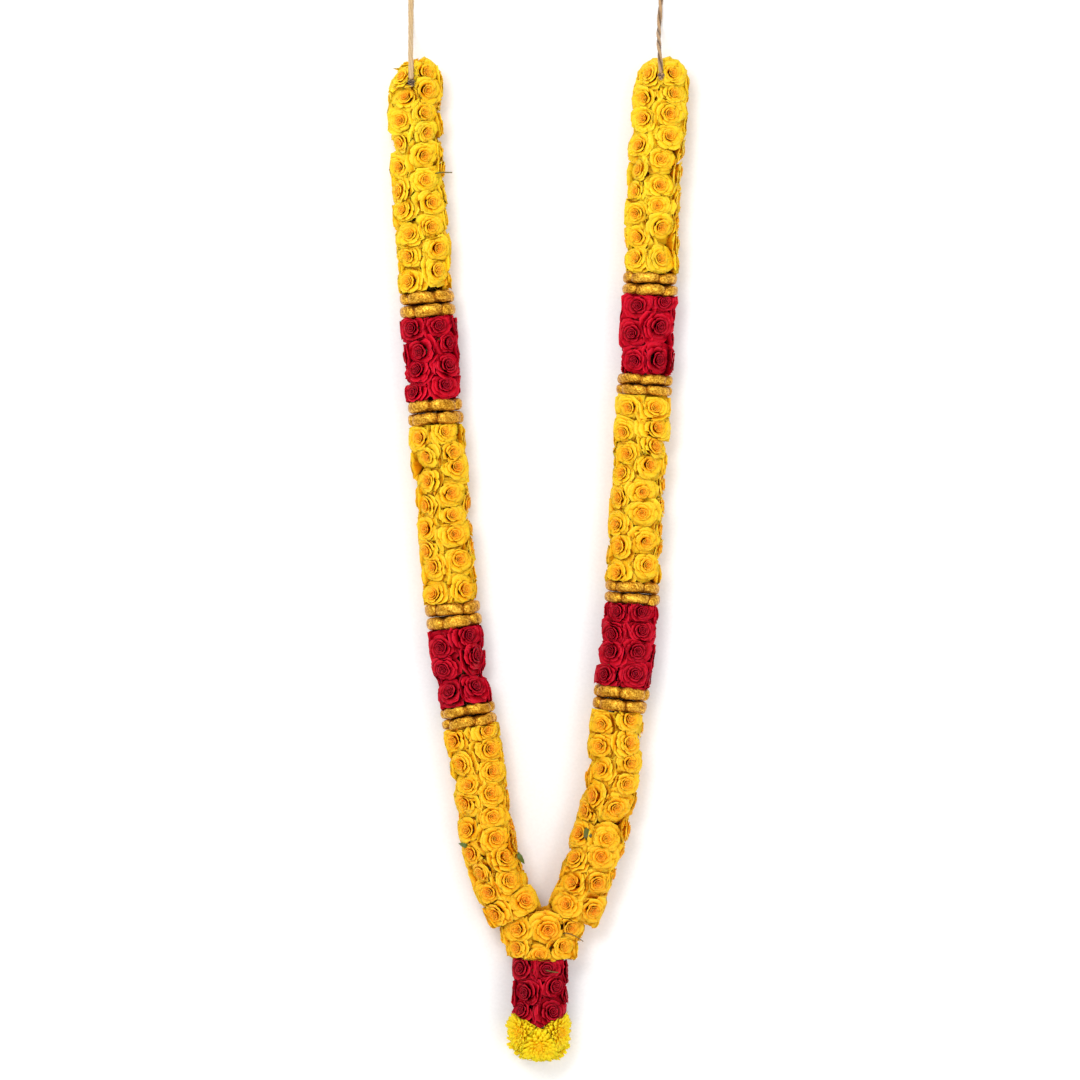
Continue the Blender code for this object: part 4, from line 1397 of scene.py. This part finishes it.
STRAP_LAYERS = (
    StrapLayer(20, 27.4, -9, -3.0, 3.1, 1.0),
    StrapLayer(22, 25.8, -7, -0.5, 3.0, 1.0),
    StrapLayer(20, 23.0, -6, 2.2, 2.9, 0.9),
    StrapLayer(18, 19.0, -5, 4.6, 2.6, 0.75),
    StrapLayer(16, 14.8, -4, 6.4, 2.3, 0.6),
    StrapLayer(14, 10.6, -2, 7.8, 1.9, 0.4),
    StrapLayer(11, 6.6, 0, 8.6, 1.5, 0.2),
    StrapLayer(7, 3.0, 1, 8.9, 1.1, 0.05),
)


@dataclass
class Bloom:
    """A chrysanthemum on the end of the pendant: strap petals in rings round a domed middle.

    A packed bloom takes the place of its CAD node, and the one at the very end has none.
    """

    name: str
    root: Grid
    along: Grid
    outward: Grid
    seed: int
    rim: float = 22 * MM
    packed: bool = True
    rows: int = 5
    columns: int = 3
    softness: float = 2 * MM

    @property
    def seat(self) -> Grid:
        """The middle of the bloom at its outer petals."""
        return self.root + self.outward * self.rim

    def straps(self, layer: StrapLayer, rng: np.random.Generator) -> Grid:
        """Works out one ring of strap petals in the bloom's own axes.

        With v along a petal its distance from the axis is reach (0.06 + 0.94 v), its height
        root + (tip - root) (1 - (1 - v)^1.8), its half-width h = W sin(pi (0.12 + 0.8 v))^0.6, and
        it is cupped across by 0.45 h u^2.
        """
        shape = (layer.count, 1, 1)
        v = np.linspace(0, 1, self.rows)[None, :, None]
        u = np.linspace(-1, 1, self.columns)[None, None, :]
        reach = layer.reach * rng.uniform(0.84, 1.04, shape)
        order = np.arange(layer.count)[:, None, None] + rng.uniform(-0.35, 0.35, shape)
        turn = TURN * order / layer.count + layer.openness
        distance = reach * (0.06 + 0.94 * v)
        tip = layer.tip + rng.uniform(-1.6, 1.6, shape)
        height = layer.root + (tip - layer.root) * (1 - (1 - v) ** 1.8)
        half = layer.width * np.sin(math.pi * (0.12 + 0.8 * v)) ** 0.6
        height = height + 0.45 * half * u ** 2
        sideways = half * u + rng.uniform(-1.8, 1.8, shape) * v ** 2
        x = distance * np.cos(turn) - sideways * np.sin(turn)
        y = distance * np.sin(turn) + sideways * np.cos(turn)
        return joined(x, y, height) * MM

    def build(self, walls: list[Wall], material: bpy.types.Material) -> bpy.types.Object:
        """Makes the bloom's petals and their solid heart as one piece."""
        rng = np.random.default_rng(self.seed)
        axes = np.stack([self.along, np.cross(self.outward, self.along), self.outward])
        flat = joined(np.linspace(0, 0.4, self.columns), np.linspace(0, 1, self.rows)[:, None])
        cloud = Cloud()
        for layer in STRAP_LAYERS:
            points = self.seat + thickened(self.straps(layer, rng), 0.5 * MM) @ axes
            points = pressed_by((*walls, PENDANT_END, GROUND), points, self.softness)
            tints = np.ones((layer.count, 2, self.rows, self.columns, 4))
            tints[..., 0] = layer.openness
            tints[..., 1] = np.linspace(0.2, 1, self.rows)[:, None]
            tints[..., 2] = rng.uniform(0, 1, (layer.count, 1, 1, 1))
            maps = np.tile(flat.reshape(1, -1, 2), (layer.count, 2, 1))
            faces = sheet_faces(self.rows, self.columns)
            cloud.add(points, faces, tints.reshape(layer.count, -1, 4), maps)
        self.receptacle(cloud, axes, walls)
        made = cloud.piece(f"{self.name}_petals", material)
        if self.packed:
            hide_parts(self.name)
        return made

    def receptacle(self, cloud: Cloud, axes: Grid, walls: list[Wall]) -> None:
        """Adds the solid heart that the petals grow from, down to its stem.

        It is turned about the bloom's axis on a profile of radius and height in mm.
        """
        profile = [(1.2, -21), (1.6, -14), (4.5, -9), (7.5, -5), (7, 2), (4.5, 6.5), (1.5, 8)]
        sides = 16
        points = self.seat + turned(np.array(profile) * MM, sides)[None] @ axes
        points = pressed_by((*walls, GROUND), points, self.softness)
        # Its light value of 0.3 gives the solid heart the petals' painted shade, as deep in the bloom
        tint = np.array([[[0.1, 0.4, 0.5, 0.3]]])
        cloud.tubes(points, len(profile), sides, tint, np.zeros((1, 1, 2)))


# Each bloom's name, where it is rooted along Y in mm, and in degrees its angle round the pendant
# from straight up and its lean towards the pendant's end
CHRYSANTHEMUMS = (
    ("front", -520.0, 0.0, 26.0),
    ("left", -513.0, -48.0, 6.0),
    ("right", -513.5, 54.0, 6.0),
    ("back_left", -520.0, -141.0, 28.0),
    ("back_right", -522.0, 141.0, 28.0),
)

# How far from the rope's line they are rooted, where the one at the very end is, and how near
# to the hem's middle a bloom meets it level
BLOOM_ROOT = 3.2 * MM
FOOT_BLOOM = -518 * MM
HEM_MIDDLE = 4.5 * MM


# Strings


@dataclass(frozen=True)
class StringShape:
    """A string's section: its radius, flatness, how many plies it is twisted of and their lay."""

    radius: float
    flatness: float
    plies: int
    groove: float
    lay: float


class StringKind(Enum):
    """The two kinds of string."""

    STRAW = StringShape(2.4 * MM, 0.14, 5, 0.16, 120 * MM)
    JUTE = StringShape(2.4 * MM, 0.0, 2, 0.36, 52 * MM)


# The tie strings' courses along X, Y and Z in mm, from their knots
STRING_ROUTES = {
    Hand.LEFT: [
        (-136, 528, 57.8), (-136.2, 538, 58.3), (-136.5, 549, 56), (-136.9, 561, 45.6), (-137.2, 573, 29),
        (-137.5, 586, 12), (-137.6, 600, 4), (-137.6, 616, 2.8), (-137.5, 631, 2.8), (-137.4, 646, 2.8),
    ],
    Hand.RIGHT: [
        (137.4, 535, 59.2), (136.8, 545, 59.7), (136, 556, 55.7), (135.5, 567, 44), (135.5, 578, 27),
        (136.2, 589, 11), (137.2, 602, 4), (138.2, 617, 2.8), (139, 631, 2.8), (139.6, 646, 2.8),
    ],
}


# How far a knot's middle lies behind its string's start, and above the string's end
KNOT_BEHIND = 3.4 * MM
KNOT_ABOVE = 1.2 * MM


def string_line(hand: Hand) -> Route:
    """The line that a tie string follows."""
    return Route(np.array(STRING_ROUTES[hand], dtype=float) * MM)


@dataclass
class TieString:
    """A tie string that runs from its knot among the first roses down onto the surface."""

    hand: Hand
    kind: StringKind
    rings: int = 180
    sides: int = 24

    def swept(self, route: Route, marks: Grid) -> Cloud:
        """Sweeps the string's section along its route.

        At angle a and distance s the section's radius is R (1 - g + 1.3 g |cos t|) with the twist
        t = n (a / 2 - pi s / L), for n plies of groove g that turn once in the lay L. Finer waves
        roughen it, and it narrows at both ends and spreads flat on the surface.

        Args:
            route: the string's line.
            marks: the distances of its rings along the line.

        Returns:
            The string's points and faces.
        """
        shape, far = self.kind.value, marks[:, None]
        centre, along = route.at(marks)[:, None], route.along(marks)
        side = unit(np.cross(UP, along))
        above = np.cross(along, side)[:, None]
        angle = TURN * np.arange(self.sides)[None, :] / self.sides
        twist = shape.plies * (angle / 2 - math.pi * far / shape.lay)
        radius = shape.radius * (1 - shape.groove + shape.groove * np.abs(np.cos(twist)) * 1.3)
        radius = radius * (1 + 0.07 * np.sin(far * 410 + 2 * angle) * np.sin(far * 1130))
        taper = 1 - 0.5 * smooth(np.abs(far / marks[-1] - 0.5), 0.485, 0.5)
        spread = 1 + 2 * shape.flatness * smooth(far / marks[-1], 0.72, 0.95)
        across = radius * taper * (1 + shape.flatness) * spread * np.sin(angle)
        rise = radius * taper * (1 - shape.flatness) * np.cos(angle)
        points = centre + side[:, None] * across[..., None] + above * rise[..., None]
        maps = joined(angle / TURN * 3 - far / shape.lay * 3, far * 60)
        tints = np.ones((1, self.rings * self.sides, 4))
        # Painted shade: the first tint is highest in the grooves between the plies, where the material
        # darkens the string
        tints[0, :, 0] = (1 - np.abs(np.cos(twist)).ravel()) * shape.groove * 3
        cloud = Cloud()
        cloud.tubes(
            points.reshape(1, -1, 3), self.rings, self.sides, tints, maps.reshape(1, -1, 2), against=True)
        return cloud

    def build(self, material: bpy.types.Material) -> None:
        route = string_line(self.hand)
        length = float(route.marks[-1])
        marks = np.linspace(0, length, self.rings)
        course = route.at(marks)
        node = f"tie_string_{self.hand.value}"
        made = self.swept(route, marks).piece(f"{node}_fibre", material)
        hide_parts(node)
        knot = self.knot(
            f"tie_knot_{self.hand.value}_wraps", course[0] - route.along(0.0) * KNOT_BEHIND, material,
            bound=self.kind is StringKind.STRAW)
        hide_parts(f"tie_knot_{self.hand.value}")
        end = self.knot(f"end_knot_{self.hand.value}", course[-1] + UP * KNOT_ABOVE, material)

    def knot(self, name: str, place: Grid, material: bpy.types.Material, bound: bool = False
             ) -> bpy.types.Object:
        """Ties an overhand knot, a tube along (sin t + 2 sin 2t, cos t - 2 cos 2t, -sin 3t).

        Args:
            name: the piece's name.
            place: the knot's middle.
            material: its finish.
            bound: whether dark thread is wound round it too.
        """
        t = TURN * np.arange(60) / 60
        curve = joined(np.sin(t) + 2 * np.sin(2 * t), np.cos(t) - 2 * np.cos(2 * t), -np.sin(3 * t))
        curve = curve * np.array((0.98, 1.15, 1.27)) * MM
        cloud = Cloud()
        self.add_loop(cloud, place, curve, 1.1 * MM, 1.0)
        if bound:
            y = 2.4 * np.sin(t) + 0.7 * np.cos(7 * t)
            wound = joined(3.3 * np.sin(4 * t), y, 3.5 * np.cos(4 * t) + 0.4)
            self.add_loop(cloud, place, wound * MM, 0.45 * MM, 0.0)
        return cloud.piece(name, material)

    def add_loop(self, cloud: Cloud, place: Grid, curve: Grid, thread: float, light: float) -> None:
        """Adds a thread of some radius along a closed curve about a place."""
        turns, sides = len(curve), 10
        along = unit(np.roll(curve, -1, axis=0) - np.roll(curve, 1, axis=0))
        side = unit(np.cross(along, curve + np.array((0.0, 0.0, 3.45 * MM))))
        above = np.cross(side, along)
        angle = TURN * np.arange(sides)[None, :, None] / sides
        points = curve[:, None] + (side[:, None] * np.cos(angle) + above[:, None] * np.sin(angle)) * thread
        t = TURN * np.arange(turns)[:, None] / turns
        maps = joined(angle[..., 0] / 2, t * 2).reshape(1, -1, 2)
        tints = np.ones((1, turns * sides, 4))
        tints[0, :, 0] = np.repeat(0.5 + 0.5 * np.sin(7 * t[:, 0]), sides)
        tints[0, :, 3] = light
        cloud.add((place + points).reshape(1, -1, 3), tube_faces(turns, sides, closed=True)[:, ::-1],
                  tints, maps)


# Green bits on top


@dataclass(frozen=True)
class Sprig:
    """A leaf or a bare stem that the photo shows lying on the roses.

    It runs from its hidden end through points along X and Y in mm, and has a half-width in mm.
    """

    course: tuple[tuple[float, float], ...]
    width: float
    leaf: bool = False
    fresh: float = 0.8
    rows: int = 9
    droop: float = 1.5 * MM

    def line(self, cover: Grid) -> Grid:
        """The line on which the sprig rests on the petals, with its hidden end tucked in.

        It takes the height of the petals near each point of its course, sinks by no more than
        the droop from one point to the next, and is evened out.

        Args:
            cover: the points of all the petals.

        Returns:
            rows x 3 points.
        """
        course = np.array(self.course) * MM
        share = np.linspace(0, len(course) - 1, self.rows)
        x, y = (np.interp(share, np.arange(len(course)), column) for column in course.T)
        near = np.hypot(cover[:, 0] - x[:, None], cover[:, 1] - y[:, None]) < 2.2 * MM
        levels = np.where(near, cover[:, 2], 0).max(axis=1)
        droop = self.droop * np.arange(self.rows)
        levels = np.maximum.accumulate(levels + droop) - droop
        z = np.convolve(np.pad(levels, 1, mode="edge"), (0.25, 0.5, 0.25), "valid") + 0.3 * MM
        return joined(x, y, z - 9 * MM * np.clip(1 - share / share[-1] * 3, 0, 1))

    def add_to(self, cloud: Cloud, cover: Grid) -> None:
        """Adds the sprig as a cupped, toothed leaf or as a thin stem that narrows to its end."""
        line = self.line(cover)
        tint = np.array([[[self.fresh, 1.0, 0.5, 1.0]]])
        along = unit(np.gradient(line, axis=0))
        side = unit(np.cross(UP, along))
        if self.leaf:
            columns = 5
            u = np.linspace(-1, 1, columns)[None, :, None]
            v = np.linspace(0.03, 0.97, self.rows)[:, None, None]
            half = self.width * MM * leaf_outline(v, 11, 0.12)
            grid = line[:, None] - side[:, None] * u * half + UP * 0.3 * half * u ** 2
            flat = joined(u[..., 0], v[..., 0]).reshape(1, -1, 2)
            cloud.add(
                thickened(grid[None], 0.4 * MM), sheet_faces(self.rows, columns), tint,
                np.tile(flat, (1, 2, 1)))
            return
        sides = 8
        angle = TURN * np.arange(sides)[None, :, None] / sides
        above = np.cross(along, side)
        radius = self.width * MM * (1 - 0.3 * np.linspace(0, 1, self.rows)[:, None, None])
        points = line[:, None] + (side[:, None] * np.sin(angle) + above[:, None] * np.cos(angle)) * radius
        cloud.tubes(points.reshape(1, -1, 3), self.rows, sides, tint, np.zeros((1, 1, 2)), against=True)


SPRIGS = (
    Sprig(((-112, 425.4), (-107, 426.3), (-101, 427), (-91.5, 427.1)), 0.9, fresh=0.35),
    Sprig(((-72.5, -313), (-84.4, -309.6)), 2.4, leaf=True),
    Sprig(((-20.5, -318.5), (-12.2, -332)), 2.6, leaf=True),
    Sprig(((58.5, -306.5), (55.4, -291.5)), 4.4, leaf=True, fresh=0.6),
    Sprig((
        (24, -411), (28.3, -408.7), (34.2, -406.9), (40.9, -409.4), (46.8, -412.4), (52.4, -416.9),
    ), 0.7, fresh=0.0),
    Sprig(((8, -447), (12.3, -447.8), (18, -449.3), (25, -450.3)), 0.8, fresh=0.2),
)


# The studio


@dataclass(frozen=True)
class Lamp:
    """A soft square light: its place and side in metres, and its power in watts."""

    name: str
    place: tuple[float, float, float]
    side: float
    power: float

    def build(self) -> None:
        """Hangs the light facing down and outwards, so that it falls on the garland at a slant."""
        light = bpy.data.lights.new(self.name, "AREA")
        light.energy, light.size = self.power, self.side
        lamp = bpy.data.objects.new(self.name, light)
        lamp.location = self.place
        x, y, z = self.place
        lamp.rotation_euler = (math.atan2(math.hypot(x, y), z), 0.0, math.atan2(-x, y))
        bpy.context.scene.collection.objects.link(lamp)


@dataclass(frozen=True)
class Studio:
    """A pale floor, soft light and a camera that looks straight down as the photo was taken."""

    middle: tuple[float, float] = (0.005, 0.0237)
    frame: float = 1.188
    lens: float = 200.0
    sensor: float = 36.0
    far_limit: float = 100.0
    brightness: float = 0.92
    floor_reach: float = 6.0
    floor_tones: tuple[float, float] = (0.86, 0.9)
    lamps: tuple[Lamp, ...] = (
        Lamp("key_light", (-0.9, 1.3, 3.2), 1.6, 86.0),
        Lamp("fill_light", (1.6, -1.0, 2.8), 2.4, 44.0),
    )

    def camera(self) -> None:
        """Sets up the camera, whose frame is as wide as the photo's at the height of the strands."""
        scene = bpy.context.scene
        scene.view_settings.view_transform = "Standard"
        camera = bpy.data.objects.new("camera", bpy.data.cameras.new("camera"))
        camera.data.lens, camera.data.sensor_width = self.lens, self.sensor
        camera.data.clip_end = self.far_limit
        camera.location = (*self.middle, AXIS_HEIGHT + self.frame * self.lens / self.sensor)
        scene.collection.objects.link(camera)
        scene.camera = camera

    def world(self) -> None:
        """Fills the room with even white light."""
        world = bpy.data.worlds.new("studio")
        world.use_nodes = True
        background = world.node_tree.nodes["Background"]
        background.inputs["Color"].default_value = (1, 1, 1, 1)
        background.inputs["Strength"].default_value = self.brightness
        bpy.context.scene.world = world

    def floor(self) -> None:
        """Lays the pale surface just under the garland."""
        corners = ((-1, -1), (1, -1), (1, 1), (-1, 1))
        points = [(x * self.floor_reach, y * self.floor_reach, -GAP) for x, y in corners]
        mesh = bpy.data.meshes.new("floor")
        mesh.from_pydata(points, [], [(0, 1, 2, 3)])
        made = Shading("pale_floor", 0.9)
        dark, light = ((tone, tone, tone) for tone in self.floor_tones)
        grain = made.noise(300, made.place(), 2)
        made.feed(made.shader, Base_Color=made.ramp(grain, [(0.3, dark), (0.7, light)]))
        mesh.materials.append(made.material)
        floor = bpy.data.objects.new("floor", mesh)
        bpy.context.scene.collection.objects.link(floor)

    def build(self) -> None:
        """Makes the camera, the lights and the floor."""
        self.camera()
        for lamp in self.lamps:
            lamp.build()
        self.world()
        self.floor()


# Finishes of this garland

# Each petal finish's root colour is painted shade and its edge colour partly a painted highlight; the red
# roses' near-black heart is partly their own deep red and partly painted shade
YELLOW = PetalFinish(
    "yellow_rose_petals", heart=(0.92, 0.22, 0.002), middle=(1.0, 0.46, 0.004), rim=(1.0, 0.63, 0.012),
    root=(0.85, 0.26, 0.0), edge=(1.0, 0.74, 0.05), far=(0.98, 0.6, 0.36))
RED = PetalFinish(
    "red_rose_petals", heart=(0.09, 0.0, 0.002), middle=(0.27, 0.0, 0.006), rim=(0.6, 0.0, 0.012),
    root=(0.03, 0.0, 0.001), edge=(1.0, 0.02, 0.06), far=(0.36, 0.36, 0.36), glow=(1.0, 0.1, 0.1),
    gloss=0.05, roughness=0.42, shade=0.8)
STRAPS = PetalFinish(
    "chrysanthemum_straps", heart=(0.88, 0.4, 0.002), middle=(0.98, 0.61, 0.003), rim=(1.0, 0.7, 0.006),
    root=(0.85, 0.46, 0.001), edge=(1.0, 0.78, 0.02), far=(1.0, 1.0, 1.0))
# The tissue's shadow colour is painted shade and its glint colour painted glints
TISSUE = TissueFinish(
    "gold_tissue", bright=(0.49, 0.2, 0.006), shadow=(0.12, 0.028, 0.001), glint=(0.95, 0.55, 0.06))
GREEN = GreenFinish(
    "green_stems", fresh=(0.07, 0.135, 0.008), old=(0.13, 0.075, 0.006), brown=(0.11, 0.045, 0.006))
COTTON = FibreFinish("cotton_rope", light=(0.62, 0.54, 0.4), dark=(0.36, 0.28, 0.18))
STRAW = FibreFinish("straw_fibre", light=(0.6, 0.42, 0.21), dark=(0.26, 0.13, 0.05))
JUTE = FibreFinish("jute_twine", light=(0.47, 0.28, 0.13), dark=(0.05, 0.018, 0.006))


@dataclass
class Garland:
    """The whole garland: both strands, the junction, the pendant and the tie strings."""

    materials: dict[str, bpy.types.Material] = field(default_factory=dict)
    petals: list[bpy.types.Object] = field(default_factory=list)

    def finish(self, kind: Part) -> bpy.types.Material:
        """The petals' material for a part of a strand."""
        return self.materials[YELLOW.name if kind is Part.YELLOW else RED.name]

    def run(self, kind: Part, label: str, sleeve: Sleeve, walls: list[Wall], seed: int,
            stems: str | None, dent: Dent | None = None, ends: list[RoseSeat] | None = None) -> None:
        """Builds a run of roses and what is under them."""
        roses = RoseRun(f"{kind.value}_roses_{label}", sleeve, walls, seed, dent, ends or [])
        made = roses.build(self.finish(kind))
        self.petals.append(made)
        log.info("%s: %d roses", made.name, len(roses.seats))
        under = StemRun(f"{kind.value}_greens_{label}", roses, stems)
        log.info("%s", under.build(self.materials[GREEN.name]).name)

    def gold_band(self, label: str, line: Route, stretch: Stretch, phase: float, seed: int) -> None:
        """Builds the two rings of a gold band.

        Args:
            label: the strand's side and the band's number, for the pieces' names.
            line: the line of the strand's rope.
            stretch: the band's stretch of the strand.
            phase: the angle at which the upper ring's first pad begins.
            seed: the band's seed, to which the length of each ring's place is added.
        """
        start, end = line.mark_at_y(stretch.top * MM), line.mark_at_y(stretch.foot * MM)
        half = (start + end) / 2
        for place, first, last, turn, bow in (
            ("top", start, half, phase, 1.5 * MM),
            ("bottom", half, end, phase + GOLD_SHIFT, 1.1 * MM),
        ):
            name = f"gold_pads_{label}_{place}"
            ring = GoldRing(name, line, first, last, turn, seed + len(place), bow=bow)
            log.info("%s", ring.build(self.materials[TISSUE.name]).name)

    def strand(self, hand: Hand, line: Route) -> Wall:
        """Builds one strand from its top.

        Args:
            hand: the strand's side.
            line: the line of its rope from the top.

        Returns:
            The plane across the strand at its foot.
        """
        middle = np.array((JUNCTION_MIDDLES[0], 0.0, 0.0))
        divide = Wall(middle, np.array((hand.inward, 0.0, 0.0)), WAVER)
        foot = divide
        for number, stretch in enumerate(STRETCHES[hand]):
            label = f"{hand.value}_{stretch.label}"
            if stretch.part is Part.GOLD:
                seed = 10 * number + len(hand.value)
                self.gold_band(label, line, stretch, GOLD_TURN * number, seed)
                continue
            first = number == 0
            sleeve = StrandSleeve(
                line, stretch.top * MM, stretch.foot * MM, FIRST_COLUMN[hand], free_start=first)
            self.run(
                stretch.part, label, sleeve, [*sleeve.walls(), divide], stretch.seed,
                f"{stretch.part.value}_rose_stems_{label}",
                dent=Dent(string_line(hand)) if first else None,
                ends=[sleeve.end_rose()] if first else [])
            foot = sleeve.end_wall()
        return foot

    def pendant(self, line: Route) -> StrandSleeve:
        """Builds the red roses of the pendant."""
        sleeve = StrandSleeve(line, JUNCTION_FOOT, PENDANT_FOOT, PENDANT_FIRST_COLUMN)
        walls = [sleeve.walls()[0], hem(-1), hem(1)]
        self.run(Part.RED, "pendant", sleeve, walls, PENDANT_SEED, "red_rose_stems_pendant")
        return sleeve

    def blooms(self, line: Route) -> None:
        """Builds the chrysanthemums round the end of the pendant."""
        made = []
        for number, (name, y, angle, lean) in enumerate(CHRYSANTHEMUMS):
            mark = line.mark_at_y(y * MM)
            along = line.along(mark)
            angle, lean = math.radians(angle), math.radians(lean)
            level = np.cross(UP, along) * math.sin(angle) + UP * math.cos(angle)
            outward = level * math.cos(lean) + along * math.sin(lean)
            root = line.at(mark) + level * BLOOM_ROOT
            down = unit(along - outward * (along @ outward))
            made.append(Bloom(f"chrysanthemum_{name}", root, down, outward, 40 + number))
        foot = line.points[-1]
        end = foot + (FOOT_BLOOM - foot[1]) * np.array((0.0, 1.0, 0.0))
        made.append(Bloom("chrysanthemum_end", end, UP, np.array((0.0, -1.0, 0.0)), 46, packed=False))
        for bloom in made:
            aside = bloom.seat[0] - HEM[0]
            limit = hem(0 if abs(aside) < HEM_MIDDLE else int(np.sign(aside)))
            walls = [Wall(limit.point, -limit.normal, WAVER)]
            for other in made:
                if other is not bloom:
                    apart = other.seat - bloom.seat
                    walls.append(Wall(bloom.seat + apart / 2, unit(apart)))
            log.info("%s", bloom.build(walls, self.materials[STRAPS.name]).name)

    def sprigs(self) -> None:
        """Lays the green bits that the photo shows on top of the roses."""
        heaps = []
        for piece in self.petals:
            flat = np.empty(3 * len(piece.data.vertices), dtype=np.float32)
            piece.data.vertices.foreach_get("co", flat)
            heaps.append(flat.reshape(-1, 3))
        cover = np.concatenate(heaps)
        cloud = Cloud()
        for sprig in SPRIGS:
            sprig.add_to(cloud, cover)
        cloud.piece("green_sprigs", self.materials[GREEN.name])

    def build(self, frame: dict) -> None:
        """Builds every piece, the strings first."""
        for finish in (YELLOW, RED, STRAPS, TISSUE, GREEN, COTTON, STRAW, JUTE):
            self.materials[finish.name] = finish.material()
        TieString(Hand.LEFT, StringKind.STRAW).build(self.materials[STRAW.name])
        TieString(Hand.RIGHT, StringKind.JUTE).build(self.materials[JUTE.name])
        lines = {Hand.LEFT: rope_line(CORE_ROUTE), Hand.RIGHT: rope_line(CORE_ROUTE[::-1])}
        feet = [self.strand(hand, line) for hand, line in lines.items()]
        pendant_line = rope_line(PENDANT_ROUTE)
        pendant = self.pendant(pendant_line)
        floor = Wall(pendant_line.at(pendant.start), pendant_line.along(pendant.start))
        junction = JunctionSleeve(feet, floor)
        ends = [junction.end_rose()]
        self.run(Part.YELLOW, "junction", junction, junction.walls(), JUNCTION_SEED, None, ends=ends)
        self.blooms(pendant_line)
        self.sprigs()
        for name in ("core_rope", "pendant_rope"):
            rope = frame["nodes"][name]
            for slot in rope.material_slots:
                slot.material = self.materials[COTTON.name]


def main() -> None:
    """Loads the frame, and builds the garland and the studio."""
    logging.basicConfig(level=logging.INFO, format="%(message)s")
    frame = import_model()
    Studio().build()
    Garland().build(frame)
    shown = [item for item in bpy.data.objects if item.type == "MESH" and not item.hide_render]
    counts = {item.name: len(item.data.loops) - 2 * len(item.data.polygons) for item in shown}
    log.info("triangles: %d in all, at most %d in a piece", sum(counts.values()), max(counts.values()))


if __name__ == "__main__":
    main()
